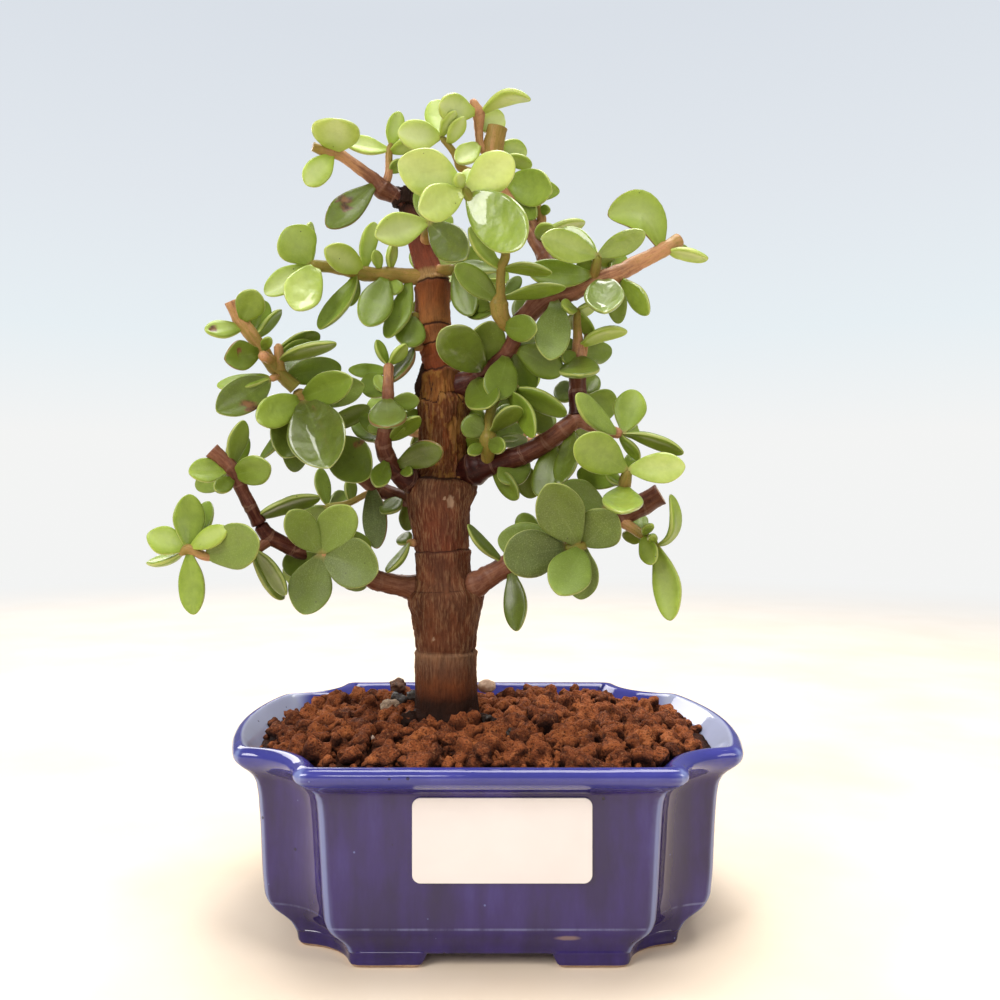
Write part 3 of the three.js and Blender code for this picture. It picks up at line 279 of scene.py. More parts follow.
floor_mesh = bpy.data.meshes.new("floor")
corners = [(-1, -1), (1, -1), (1, 1), (-1, 1)]
floor_mesh.from_pydata([(x * FLOOR_HALF, y * FLOOR_HALF, 0) for x, y in corners], [], [(0, 1, 2, 3)])
floor_mesh.materials.append(floor_cream)
new_object("floor", floor_mesh)

# %% [markdown]
# ## Skins
#
# The pot, the trunk, the twigs and every leaf are closed skins over a stack of rings: rows of
# points that go once round. A grid of rings is quick to make with numpy, its faces follow the
# form, and each point can carry marks, such as how old the bark is, that its material reads.

# %% Closed skins over rings
def run_along(line):
    """The running length at each point of a line."""
    return np.concatenate([[0], np.cumsum(np.linalg.norm(np.diff(line, axis=0), axis=1))])


def ring_quads(count, sides):
    """Point numbers of rings, the same turned by one point, and the faces between the rings."""
    grid = np.arange(count * sides).reshape(count, sides)
    after = np.roll(grid, -1, axis=1)
    return grid, after, np.stack([grid[:-1], after[:-1], after[1:], grid[1:]], axis=-1).reshape(-1, 4)


def ring_skin(rings, first=None, last=None, marks=None):
    """A closed skin over rings of equal length, with a pole at each end."""
    rings = np.asarray(rings, float)
    count, sides = rings.shape[:2]
    first = rings[0].mean(0) if first is None else first
    last = rings[-1].mean(0) if last is None else last
    points = np.vstack([rings.reshape(-1, 3), [first], [last]])
    grid, after, quads = ring_quads(count, sides)
    poles = [np.full(sides, count * sides), np.full(sides, count * sides + 1)]
    tris = np.vstack([
        np.stack([poles[0], after[0], grid[0]], axis=-1),
        np.stack([poles[1], grid[-1], after[-1]], axis=-1),
    ])
    skin = {"points": points, "quads": quads, "tris": tris, "marks": {}}
    for name, values in (marks or {}).items():
        values = np.asarray(values, float)
        ends = [values[0].mean(0), values[-1].mean(0)]
        flat = values.reshape(count * sides, -1)
        skin["marks"][name] = np.vstack([flat, np.reshape(ends, (2, -1))])
    if skin_volume(skin) < 0:
        skin["quads"] = quads[:, ::-1]
        skin["tris"] = tris[:, ::-1]
    return skin


def skin_volume(skin):
    p, q, t = skin["points"], skin["quads"], skin["tris"]
    tris = np.vstack([q[:, [0, 1, 2]], q[:, [0, 2, 3]], t])
    a, b, c = p[tris[:, 0]], p[tris[:, 1]], p[tris[:, 2]]
    return float(np.einsum("ij,ij->i", a, np.cross(b, c)).sum() / 6)


def join_skins(skins):
    """Several skins as one; they all carry the same marks."""
    start = np.cumsum([0] + [len(s["points"]) for s in skins])
    return {
        "points": np.vstack([s["points"] for s in skins]),
        "quads": np.vstack([s["quads"] + k for s, k in zip(skins, start)]),
        "tris": np.vstack([s["tris"] + k for s, k in zip(skins, start)]),
        "marks": {m: np.vstack([s["marks"][m] for s in skins]) for m in skins[0]["marks"]},
    }


def mesh_piece(name, skin, material, smooth=True, caps=()):
    """A new object from a skin in millimetres, its place in its mesh."""
    mesh = bpy.data.meshes.new(name)
    faces = skin["quads"].tolist() + skin["tris"].tolist() + [list(cap) for cap in caps]
    mesh.from_pydata(metres(skin["points"]).tolist(), [], faces)
    mesh.materials.append(material)
    if smooth:
        mesh.shade_smooth()
    for mark, values in skin["marks"].items():
        kind, field = {1: ("FLOAT", "value"), 3: ("FLOAT_VECTOR", "vector"),
                       4: ("FLOAT_COLOR", "color")}[values.shape[1]]
        layer = mesh.attributes.new(mark, kind, "POINT")
        layer.data.foreach_set(field, values.astype(np.float32).ravel())
    return new_object(name, mesh)


def settle(piece, slot, *nodes):
    """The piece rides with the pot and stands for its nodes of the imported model."""
    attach(piece, "root")
    if nodes:
        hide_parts(*nodes)
    print(piece.name, len(piece.data.polygons), "faces")


def fractal(points, size, octaves=3, seed=0):
    """Fractal noise at each point, about -1 to 1, with lumps of a size in millimetres."""
    shift = Vector((seed * 17.3, seed * 5.9, seed * 31.7))
    flat = np.asarray(points, float).reshape(-1, 3) / size
    values = [noise.fractal(Vector(p) + shift, 1.0, 2.0, octaves) for p in flat.tolist()]
    return np.array(values).reshape(np.shape(points)[:-1])


def bell(distance, width):
    return np.exp(-((np.asarray(distance) / width) ** 2))

# %% [markdown]
# ## The pot's form
#
# The real pot was pressed in a mould: a long rectangle with a hollow quarter round at each
# corner, walls that flare into a lip, and low feet. A loft through outlines at rising heights
# gives that form. Each outline is drawn with sharp corners and then averaged along itself,
# which rounds every edge as clay and glaze do. How far a point moved tells the glaze shader
# where the glaze ran thin (outer edges) and where it pooled (inner corners).

# %% The pot's levels
# Each level: height, half length, half depth, half lengths of the straight front and of the
# straight side between two notches, and the bow of the side.
POT_OUTSIDE = [
    (3.5, 48.5, 41, 34, 30.2, 1.6), (4.6, 49.1, 41.1, 34.3, 30.1, 1.8), (5.6, 49.8, 41.4, 34.8, 30, 1.9),
    (6.6, 50.9, 41.8, 35.7, 29.9, 2.1), (7.6, 52.5, 42.3, 36.8, 29.8, 2.4),
    (8.8, 54.3, 42.9, 38, 29.6, 2.7), (10.2, 55.5, 43.15, 38.8, 29.5, 2.9),
    (12, 56.3, 43.2, 39.4, 29.5, 3), (18, 56.9, 43.2, 39.9, 29.4, 3.1),
    (30, 57.4, 43.25, 40.5, 29.3, 3.3), (37, 57.9, 43.3, 40.9, 29.3, 3.5),
    (40.3, 58.4, 43.4, 41.2, 29.4, 3.6), (42.2, 59.2, 43.7, 41.8, 29.8, 3.9),
    (43.5, 60.3, 44.8, 42.6, 30.5, 4.3), (44.7, 61.6, 46.9, 43.7, 31.4, 4.8),
    (45.7, 62.5, 48.3, 44.6, 32.1, 5.2), (46.7, 63.1, 49.4, 45.4, 32.6, 5.6),
    (47.9, 63.3, 50, 45.8, 32.9, 5.8), (49, 63, 49.7, 45.5, 32.6, 5.8),
    (49.8, 62.2, 48.8, 44.7, 31.8, 5.8), (50.1, 61.3, 47.9, 43.8, 30.9, 5.8),
]
POT_INSIDE = [
    (50, 60.8, 47, 42.9, 30.2, 5.7), (49.5, 60.3, 46.2, 42.2, 29.6, 5.6),
    (48.2, 59.4, 45.2, 41.3, 28.8, 5.2), (46, 57.8, 43.5, 39.7, 27.6, 4.6),
    (43.6, 55.9, 41.4, 38.1, 26, 3.8), (42, 54.9, 40.2, 37.3, 25.3, 3.4),
    (12, 52.9, 39.5, 35.6, 25, 2.8), (8, 51.5, 38.2, 34, 24.5, 2.4),
]
FEET_OUTSIDE = [(0, 47.5, 41, 33.4, 30.4, 1.2), (3.9, 48.6, 41.1, 34, 30.2, 1.5)]
FEET_INSIDE = (0, 38.5, 31.5, 25, 20.5, 1)
# Heights up a foot, and how far its skin lies inside the full outline there.
FOOT_INSETS = [
    (0, 1.1), (0.1, 0.75), (0.3, 0.4), (0.6, 0.15), (1, 0), (1.6, 0.1), (2.3, 0.2), (3, 0.15), (3.6, 0),
    (4.2, 0),
]
FOOT_ROUNDING = 0.8
FOOT_CURVE = 1.6
FOOT_STEPS = 64
FOOT_GAP_FRONT = (16.9, 14.6)
FOOT_GAP_SIDE = 12.0
DRAIN_RADIUS = 6.0
DRAIN_X = 27.0
FLOOR_TOP = 8.0

NOTCH_STEPS = 26
FRONT_STEPS = 52
END_STEPS = 46
CORNER_ROUNDING = 1.5
EDGE_ROUNDING = 0.9
# Distance between two rows of points: outside, inside, and on walls longer than LONG_WALL.
OUTER_ROWS, INNER_ROWS, LONG_ROWS = 0.55, 0.6, 2.6
LONG_WALL = 8


def outline(level):
    """The outline of one level, anticlockwise, with equal numbers of points at every level."""
    half_length, half_depth, front_half, side_half, bow = level[1:]
    turn = np.linspace(0, math.pi / 2, NOTCH_STEPS + 1)
    corner = np.stack([
        half_length - (half_length - front_half) * np.sin(turn),
        half_depth - (half_depth - side_half) * np.cos(turn),
    ], axis=1)
    y = side_half * np.linspace(-1, 1, END_STEPS + 1)[1:-1]
    side = np.stack([half_length + bow * (1 - (y / side_half) ** 2), y], axis=1)
    x = front_half * np.linspace(1, -1, FRONT_STEPS + 1)[1:-1]
    back = np.stack([x, np.full(len(x), half_depth)], axis=1)
    half = np.vstack([corner[::-1] * (1, -1), side, corner, back])
    return np.vstack([half, -half])


def averaged(values, width, axis, closed):
    """A bell-shaped running average along one axis; width is in steps."""
    reach = int(math.ceil(3 * width))
    weights = np.exp(-0.5 * (np.arange(-reach, reach + 1) / width) ** 2)
    weights /= weights.sum()
    total = np.zeros_like(values)
    for shift, weight in zip(range(-reach, reach + 1), weights):
        if closed:
            moved = np.roll(values, shift, axis=axis)
        else:
            places = np.clip(np.arange(values.shape[axis]) + shift, 0, values.shape[axis] - 1)
            moved = np.take(values, places, axis=axis)
        total += weight * moved
    return total


def levels_between(levels, spacing):
    """More levels along the straight lines between the given ones."""
    rows = []
    for low, high in zip(levels[:-1], levels[1:]):
        low, high = np.array(low, float), np.array(high, float)
        length = np.hypot(high[0] - low[0], high[2] - low[2])
        step = spacing if length < LONG_WALL else LONG_ROWS
        count = max(1, int(round(length / step)))
        rows += [low + (high - low) * k / count for k in range(count)]
    return rows + [np.array(levels[-1], float)]


def stack(levels):
    """The sharp outlines of some levels, as rings of points."""
    return np.array([np.column_stack([outline(v), np.full(len(outline(v)), v[0])]) for v in levels])

# %% The pot's skin
WALL_ROW = 8
outside_levels = levels_between(POT_OUTSIDE, OUTER_ROWS)
pot_levels = outside_levels + levels_between(POT_INSIDE, INNER_ROWS)
sharp = stack(pot_levels)
rounded = averaged(sharp, CORNER_ROUNDING, axis=1, closed=True)
rounded = averaged(rounded, EDGE_ROUNDING, axis=0, closed=False)

along = np.roll(rounded, -1, axis=1) - np.roll(rounded, 1, axis=1)
upward = np.gradient(rounded, axis=0)
outward = np.cross(along, upward)
outward /= np.linalg.norm(outward, axis=2, keepdims=True) + 1e-9
if (outward[WALL_ROW] * rounded[WALL_ROW]).sum() < 0:
    outward = -outward
edge = ((sharp - rounded) * outward).sum(axis=2)
inside = np.zeros(edge.shape)
inside[len(outside_levels):] = 1
pot_skin = ring_skin(rounded, first=(0, 0, POT_OUTSIDE[0][0]), last=(0, 0, FLOOR_TOP),
                     marks={"edge": edge, "inside": inside})
print("pot skin:", len(pot_skin["points"]), "points; edge mark", edge.min().round(2), edge.max().round(2))

# %% The feet
def evenly(line, runs):
    """The points of a line, across and deep, at some running lengths."""
    return np.stack([np.interp(runs, run_along(line), line[:, i]) for i in (0, 1)], axis=1)


def foot_ring(level, gap):
    """The footprint of the foot at +X +Y: out along the pot's outline and back inside."""
    def quarter(values):
        ring = averaged(outline(values), CORNER_ROUNDING, axis=0, closed=True)
        keep = ring[(ring[:, 0] > 0) & (ring[:, 1] > 0)]
        return keep[np.argsort(np.arctan2(keep[:, 1], keep[:, 0]))]

    def trimmed(line):
        line = line[(line[:, 0] >= gap) & (line[:, 1] >= FOOT_GAP_SIDE)]
        start = [np.interp(FOOT_GAP_SIDE, line[:, 1], line[:, 0]), FOOT_GAP_SIDE]
        end = [gap, line[-1, 1]]
        line = np.vstack([start, line, end])
        return evenly(line, np.linspace(0, run_along(line)[-1], FOOT_STEPS))

    loop = np.vstack([trimmed(quarter(level)), trimmed(quarter(FEET_INSIDE))[::-1]])
    closed = np.vstack([loop, loop[:1]])
    loop = evenly(closed, np.linspace(0, run_along(closed)[-1], 2 * FOOT_STEPS, endpoint=False))
    return averaged(loop, FOOT_ROUNDING, axis=0, closed=True)


def shrunk(loop, distance):
    """A closed loop moved inwards."""
    tangent = np.roll(loop, -1, axis=0) - np.roll(loop, 1, axis=0)
    tangent /= np.linalg.norm(tangent, axis=1, keepdims=True)
    return loop + np.stack([-tangent[:, 1], tangent[:, 0]], axis=1) * distance


def foot_skin(sign_x, sign_y):
    """One foot: rings that narrow downwards, and the two rings that its caps close."""
    rings = []
    for z, inset in FOOT_INSETS:
        share = 1 - (1 - min(1, z / FEET_OUTSIDE[1][0])) ** FOOT_CURVE
        level = np.array(FEET_OUTSIDE[0]) * (1 - share) + np.array(FEET_OUTSIDE[1]) * share
        gap = FOOT_GAP_FRONT[0] * (1 - share) + FOOT_GAP_FRONT[1] * share
        loop = shrunk(foot_ring(level, gap), inset) * (sign_x, sign_y)
        rings.append(np.column_stack([loop, np.full(len(loop), z)]))
    rings = np.array(rings)
    if sign_x * sign_y < 0:
        rings = rings[:, ::-1]
    grid, _, quads = ring_quads(*rings.shape[:2])
    points = rings.reshape(-1, 3)
    zero = np.zeros((len(points), 1))
    skin = {"points": points, "quads": quads, "tris": np.zeros((0, 3), int),
            "marks": {"edge": zero, "inside": zero}}
    return skin, [grid[0][::-1], grid[-1]]


feet = [foot_skin(sx, sy) for sx in (-1, 1) for sy in (-1, 1)]
pot_parts = [pot_skin] + [skin for skin, _ in feet]
starts = np.cumsum([0] + [len(s["points"]) for s in pot_parts])
pot_caps = [cap + start for (_, caps), start in zip(feet, starts[1:]) for cap in caps]

# %% [markdown]
# ## The glaze
#
# A cobalt glaze is a layer of coloured glass. Where it runs thin over an edge the pale clay
# shows through, where it pools it turns nearly black, and dust and burst bubbles leave small
# pits. The shader starts from a deep blue, lets the edge mark lighten or darken it, streaks
# it downwards, and keeps a low roughness with a long soft wave, so reflections are not flat.

# %% A group for specks and pits, used by the glaze, the leaves and the stones
specks = bpy.data.node_groups.new("specks", "ShaderNodeTree")
for label, kind in (("Vector", "NodeSocketVector"), ("Scale", "NodeSocketFloat"),
                    ("Size", "NodeSocketFloat"), ("Share", "NodeSocketFloat")):
    specks.interface.new_socket(label, in_out="INPUT", socket_type=kind)
specks.interface.new_socket("Mask", in_out="OUTPUT", socket_type="NodeSocketFloat")
group_in = specks.nodes.new("NodeGroupInput")
group_out = specks.nodes.new("NodeGroupOutput")
cells = wire(specks, "ShaderNodeTexVoronoi", {"feature": "F1"},
             Vector=group_in.outputs["Vector"], Scale=group_in.outputs["Scale"])
chosen = wire(specks, "ShaderNodeSeparateColor", Color=cells.outputs["Color"]).outputs["Red"]
near = maths("LESS_THAN", cells.outputs["Distance"], group_in.outputs["Size"])
picked = maths("LESS_THAN", chosen, group_in.outputs["Share"])
feed(group_out, Mask=times(near, picked))


def speck_mask(vector, scale, size, share):
    """Small round spots: a share of the cells, each spot of a size within its cell."""
    return wire(vector.id_data, "ShaderNodeGroup", {"node_tree": specks},
                Vector=vector, Scale=scale, Size=size, Share=share).outputs["Mask"]


def mark(tree, name, output="Fac"):
    """An output of a mark that the mesh carries at its points."""
    return wire(tree, "ShaderNodeAttribute", {"attribute_name": name}).outputs[output]


def bump(height, strength, distance, normal=None):
    """The normal of a bumpy surface, on top of another normal if one is given."""
    node = wire(height.id_data, "ShaderNodeBump", Height=height, Strength=strength, Distance=distance)
    if normal is not None:
        plug(node.inputs["Normal"], normal)
    return node.outputs["Normal"]


def stretched(vector, scale, location=(0, 0, 0)):
    """Coordinates scaled and moved by a Mapping node."""
    return wire(vector.id_data, "ShaderNodeMapping", Vector=vector, Scale=scale,
                Location=location).outputs["Vector"]

# %% Glaze material
CREASE_HEIGHT = 0.0104
SMEAR_PLACE, SMEAR_SIZE = (18.4, -42.5, 8.1), (0.0042, 0.02, 0.0011)

glaze, tree, place, shader = new_material("glaze_cobalt")
edge_mark = mark(tree, "edge")
inside_mark = mark(tree, "inside")
place_x, _, height = wire(tree, "ShaderNodeSeparateXYZ", Vector=place).outputs
streaks = noise_at(stretched(place, (1, 1, 0.22)), 130, 6, 0.6)
clouds = noise_at(place, 38, 4)
depth_share = plus(times(streaks, 0.62), times(clouds, 0.38))
deep_blue = ramp(depth_share, [
    (0.25, (0.009, 0.004, 0.042)), (0.45, (0.015, 0.006, 0.078)),
    (0.56, (0.023, 0.01, 0.12)), (0.72, (0.04, 0.028, 0.195)),
])
outside_mark = minus(1.0, inside_mark)
# Partly painted highlight: from the lip upwards the blue is blended brighter. This is partly the glaze's
# saturated blue there and partly stands in for the lip's highlight.
lip = times(steps(height, 0.0425, 0.0465), 0.65)
deep_blue = blend_colours(lip, deep_blue, (0.05, 0.06, 0.33))
thin = steps(swayed(edge_mark, streaks, 0.35), 0.08, 0.62)
pooled = steps(times(edge_mark, -1.0), 0.05, 0.45)
colour = blend_colours(times(thin, 0.62), deep_blue, (0.24, 0.3, 0.56))
colour = tinted(colour, pooled, 0.6, (0.006, 0.007, 0.05))
# Partly painted reflection: the inner flares at the pot's ends are tinted pale blue-grey. This is partly
# thin pale glaze and partly stands in for the bright backdrop reflected there.
middle_away = maths("ABSOLUTE", minus(place_x, AXIS[0]))
flare = times(inside_mark, steps(middle_away, 0.0535, 0.0595))
colour = tinted(colour, flare, 0.7, (0.44, 0.48, 0.62))
crease = steps(maths("ABSOLUTE", minus(height, CREASE_HEIGHT)), 0.0004, 0.0001)
crease = times(times(crease, outside_mark), steps(streaks, 0.35, 0.6))
colour = tinted(colour, crease, 0.4, (0.24, 0.27, 0.48))
smear_place = [-v / size for v, size in zip(metres(SMEAR_PLACE)[0], SMEAR_SIZE)]
smear = stretched(place, [1 / size for size in SMEAR_SIZE], smear_place)
smear = wire(tree, "ShaderNodeVectorMath", {"operation": "LENGTH"}, Vector=smear).outputs["Value"]
smear = plus(smear, times(streaks, 0.9))
smear = times(steps(smear, 1.35, 0.9), outside_mark)
colour = tinted(colour, smear, 0.55, (0.36, 0.25, 0.19))
pits = speck_mask(place, 240, 0.1, 0.1)
colour = tinted(colour, pits, 0.75, (0.004, 0.004, 0.02))
pale_specks = speck_mask(stretched(place, (1, 1, 1), (0.3, 0.1, 0.2)), 520, 0.13, 0.05)
colour = tinted(colour, pale_specks, 0.5, (0.18, 0.24, 0.55))
bare_edge = swayed(height, clouds, 0.0012)
bare = minus(1.0, steps(bare_edge, 0.00055, 0.0009))
clay_grain = noise_at(place, 900, 4)
clay = ramp(clay_grain, [(0.3, (0.33, 0.19, 0.11)), (0.7, (0.56, 0.38, 0.25))])
colour = blend_colours(bare, colour, clay)
rough = maths("MAXIMUM", plus(0.045, times(streaks, 0.06)), times(bare, 0.85))
wave = noise_at(place, 55, 2)
normal = bump(wave, 0.5, 0.0007)
normal = bump(streaks, 0.1, 0.0003, normal)
normal = bump(minus(1.0, pits), 0.6, 0.0002, normal)
feed(shader, Base_Color=colour, Roughness=rough, Specular_IOR_Level=0.57, Normal=normal)

# %% Make the pot and cut its two drain holes
pot = mesh_piece("pot_body", join_skins(pot_parts), glaze, caps=pot_caps)
for side in (-1, 1):
    bpy.ops.mesh.primitive_cylinder_add(vertices=48, radius=DRAIN_RADIUS * MM, depth=0.012)
    cutter = bpy.context.object
    cutter.data.transform(cutter.matrix_world.Translation(metres((side * DRAIN_X, 0, 6))[0]))
    hole = pot.modifiers.new("drain", "BOOLEAN")
    hole.operation = "DIFFERENCE"
    hole.solver = "EXACT"
    hole.object = cutter
    solid = bpy.data.meshes.new_from_object(pot.evaluated_get(bpy.context.evaluated_depsgraph_get()))
    pot.modifiers.clear()
    pot.data = solid
    bpy.data.objects.remove(cutter)
pot.data.materials.clear()
pot.data.materials.append(glaze)
settle(pot, "glaze", "pot")

# %% [markdown]
# ## The label
#
# A blank paper sticker sits on the front wall. It is a rounded rectangle a third of a
# millimetre thick: an outline from four quarter circles, filled and given a thickness. Its
# edge is softened so that it catches the light as cut paper does.

# %% Label
LABEL_LENGTH, LABEL_HEIGHT, LABEL_RADIUS = 42.4, 20.1, 2.0
LABEL_X, LABEL_Z = 2.8, 31.7
LABEL_BACK, LABEL_FRONT = -43.62, -43.98
CORNER_POINTS = 14
# The rings of the softened edge: depth, and how far in from the outline.
LABEL_EDGE = [(LABEL_BACK, 0), (LABEL_FRONT + 0.12, 0), (LABEL_FRONT + 0.03, 0.04), (LABEL_FRONT, 0.14)]

label_loop = []
for sx, sz, start in ((1, -1, -90), (1, 1, 0), (-1, 1, 90), (-1, -1, 180)):
    x = LABEL_X + sx * (LABEL_LENGTH / 2 - LABEL_RADIUS)
    z = LABEL_Z + sz * (LABEL_HEIGHT / 2 - LABEL_RADIUS)
    for angle in np.radians(np.linspace(start, start + 90, CORNER_POINTS)):
        label_loop.append((x + LABEL_RADIUS * math.cos(angle), z + LABEL_RADIUS * math.sin(angle)))
label_loop = np.array(label_loop)
label_centre = np.array([LABEL_X, LABEL_Z])
label_rings = []
for y, inset in LABEL_EDGE:
    away = label_loop - label_centre
    loop = label_loop - inset * away / np.linalg.norm(away, axis=1, keepdims=True)
    label_rings.append(np.column_stack([loop[:, 0], np.full(len(loop), y), loop[:, 1]]))

paper, tree, place, shader = new_material("label_paper")
fibres = noise_at(place, 1500, 5)
patches = noise_at(place, 60, 3)
colour = ramp(patches, [(0.3, (0.745, 0.705, 0.705)), (0.7, (0.785, 0.75, 0.755))])
feed(shader, Base_Color=colour, Roughness=plus(0.38, times(fibres, 0.2)),
     Normal=bump(fibres, 0.12, 0.00005))
label = mesh_piece("label_sticker", ring_skin(label_rings), paper, smooth=False)
settle(label, "label", "label")

# %% [markdown]
# ## Drain screens
#
# Under the soil a square of plastic mesh covers each drain hole, and from below its strands
# cross the hole. Geometry Nodes repeats one strand along a line, a turned copy crosses it, and
# both are realized, because the exported model holds no instances.

# %% Mesh screens
SCREEN_SIDE, SCREEN_LOW = 20.0, 8.35
STRAND = 0.55
STRAND_GAP = 2.1


def geometry_tree(name, **inputs):
    """A Geometry Nodes group with a mesh in and out, and named inputs of given kinds."""
    tree = bpy.data.node_groups.new(name, "GeometryNodeTree")
    tree.interface.new_socket("Mesh", in_out="INPUT", socket_type="NodeSocketGeometry")
    for label, kind in inputs.items():
        tree.interface.new_socket(label, in_out="INPUT", socket_type="NodeSocket" + kind)
    tree.interface.new_socket("Mesh", in_out="OUTPUT", socket_type="NodeSocketGeometry")
    return tree, tree.nodes.new("NodeGroupInput").outputs, tree.nodes.new("NodeGroupOutput")


def baked_with(tree, name, values, source=None):
    """A plain mesh object made by running a Geometry Nodes group once."""
    mesh = source.data if source else bpy.data.meshes.new(name + "_source")
    holder = new_object(name, mesh)
    modifier = holder.modifiers.new("nodes", "NODES")
    modifier.node_group = tree
    for item in tree.interface.items_tree:
        if item.item_type == "SOCKET" and item.in_out == "INPUT" and item.name in values:
            modifier[item.identifier] = values[item.name]
    bpy.context.view_layer.update()
    evaluated = holder.evaluated_get(bpy.context.evaluated_depsgraph_get())
    solid = bpy.data.meshes.new_from_object(evaluated)
    bpy.data.objects.remove(holder)
    return new_object(name, solid)


screen_plastic, tree, place, shader = new_material("screen_plastic")
weather = noise_at(place, 400, 4)
colour = ramp(weather, [(0.3, (0.012, 0.018, 0.014)), (0.7, (0.04, 0.05, 0.04))])
feed(shader, Base_Color=colour, Roughness=0.45)

netting, sockets, out = geometry_tree("drain_screen", Side="Float", Gap="Float", Strand="Float",
                                      Place="Vector", Finish="Material")
side, gap, thick, place, finish = sockets[1:6]
half = maths("DIVIDE", side, 2.0)
size = wire(netting, "ShaderNodeCombineXYZ", X=side, Y=thick, Z=thick).outputs[0]
strand = wire(netting, "GeometryNodeMeshCube", Size=size, Vertices_X=12).outputs["Mesh"]
low_end = wire(netting, "ShaderNodeCombineXYZ", Y=times(half, -0.95)).outputs[0]
high_end = wire(netting, "ShaderNodeCombineXYZ", Y=times(half, 0.95)).outputs[0]
line = wire(netting, "GeometryNodeMeshLine", {"mode": "END_POINTS", "count_mode": "TOTAL"},
            Count=maths("DIVIDE", side, gap), Start_Location=low_end)
plug(line.inputs[3], high_end)
row = wire(netting, "GeometryNodeInstanceOnPoints", Points=line.outputs["Mesh"], Instance=strand)
raised = wire(netting, "ShaderNodeCombineXYZ", Z=times(thick, 0.6)).outputs[0]
crossed = wire(netting, "GeometryNodeTransform", Geometry=row.outputs["Instances"],
               Rotation=(0, 0, math.radians(90)), Translation=raised)
both = netting.nodes.new("GeometryNodeJoinGeometry")
plug(both.inputs[0], row.outputs["Instances"])
plug(both.inputs[0], crossed.outputs[0])
real = wire(netting, "GeometryNodeRealizeInstances", Geometry=both.outputs[0])
moved = wire(netting, "GeometryNodeTransform", Geometry=real.outputs[0], Translation=place)
painted = wire(netting, "GeometryNodeSetMaterial", Geometry=moved.outputs[0], Material=finish)
plug(out.inputs[0], painted.outputs[0])

for side, name in ((-1, "left"), (1, "right")):
    spot = metres((side * DRAIN_X, 0, SCREEN_LOW))[0]
    screen = baked_with(netting, "screen_" + name, {
        "Side": SCREEN_SIDE * MM, "Gap": STRAND_GAP * MM, "Strand": STRAND * MM,
        "Place": tuple(spot), "Finish": screen_plastic})
    settle(screen, "screen", "drain_screen_" + name)

# %% [markdown]
# ## Soil
#
# The pot is filled with reddish brown clay granules of 3 to 9 mm. A closed mound fills the
# pot just below them, and Geometry Nodes scatters balls over its top: large ones far apart,
# then middling and small ones between. Once the balls are real geometry, noise pushes their
# points in and out, so no two granules are alike. A mark on the mound keeps them clear of the
# trunk and of the four stones.

# %% The mound and the stones that lie on it
STONES = [
    # name, place, sizes, turn, roughness of form, colours from dark to light, share of specks
    ("stone_pale", (2, 34, 51.5), (6, 5, 4.4), 0.3, 0.1,
     ((0.4, 0.25, 0.17), (0.62, 0.44, 0.32)), 0.05),
    ("stone_speckled", (-27.4, 8, 51), (5.8, 5.2, 4.4), 0.8, 0.22,
     ((0.2, 0.13, 0.085), (0.48, 0.35, 0.24)), 0.35),
    ("stone_white", (-30.3, -24, 50.3), (2.3, 2, 1.9), 0.2, 0.3,
     ((0.6, 0.42, 0.34), (0.86, 0.72, 0.62)), 0.05),
    ("stone_brown", (-26.6, 34, 51.6), (5.6, 5, 4.4), 1.1, 0.34,
     ((0.05, 0.022, 0.012), (0.17, 0.075, 0.04)), 0.1),
]
STONE_GAP = 1.2
# Black bits of charcoal: place and radius.
CHARCOAL = [(0.5, -10, 51.8, 1.3), (6, -23, 51.6, 1.1), (-25.5, 15, 51, 2.6), (-21, 17, 51.6, 2.4)]
TRUNK_FOOT = (-11.6, 50, 3)
TRUNK_CLEARANCE = 11.2
# The mound's profile: height, and share of the way out to the wall.
MOUND = [(47.9, 1.06), (48.8, 0.98), (49.7, 0.84), (50.3, 0.62), (50.7, 0.38), (51, 0.16)]
MOUND_DROP = 2.5
MOUND_START = 45.9
SOIL_LEAN = -0.015
# The soil fills the pot up to the level above this one, whose outline bounds the mound.
SOIL_WALL = 5
WALL_GAP = 0.35
FLOOR_GAP = 0.3
SOIL_ROWS = 1.6
SOIL_UNEVEN = 0.6


def mound_height(x, y):
    """The height of the mound's top in millimetres."""
    share = np.maximum(np.abs(x) / POT_INSIDE[SOIL_WALL][1], np.abs(y) / POT_INSIDE[SOIL_WALL][2])
    top = np.interp(share, [s for _, s in MOUND][::-1], [z for z, _ in MOUND][::-1])
    return top + SOIL_LEAN * y - MOUND_DROP


def soil_level(z, values, share=1.0):
    return (z, *[(v - WALL_GAP) * share for v in values[1:5]], values[5] * share)


soil_levels = [soil_level(values[0], values) for values in reversed(POT_INSIDE[SOIL_WALL - 1:])]
soil_levels[0] = soil_level(FLOOR_TOP + FLOOR_GAP, POT_INSIDE[-1])
soil_levels += [soil_level(z, POT_INSIDE[SOIL_WALL], share) for z, share in MOUND]
soil_rows = levels_between(soil_levels, SOIL_ROWS)
soil_rings = averaged(stack(soil_rows), CORNER_ROUNDING, axis=1, closed=True)
top_rows = soil_rings[:, :, 2] > MOUND_START
soil_rings[top_rows, 2] = mound_height(soil_rings[top_rows, 0], soil_rings[top_rows, 1])
soil_rings[top_rows, 2] += SOIL_UNEVEN * fractal(soil_rings[top_rows], 4.0, 3, 5)
trunk_foot = sighted(*TRUNK_FOOT)[:2]
from_trunk = np.hypot(soil_rings[:, :, 0] - trunk_foot[0], soil_rings[:, :, 1] - trunk_foot[1])
free = (from_trunk > TRUNK_CLEARANCE) & top_rows
for _, spot, sizes, *_ in STONES:
    from_stone = np.hypot(soil_rings[:, :, 0] - spot[0], soil_rings[:, :, 1] - spot[1])
    free &= from_stone > sizes[0] / 2 + STONE_GAP
free = free.astype(float)
mound_skin = ring_skin(soil_rings, marks={"free": free})

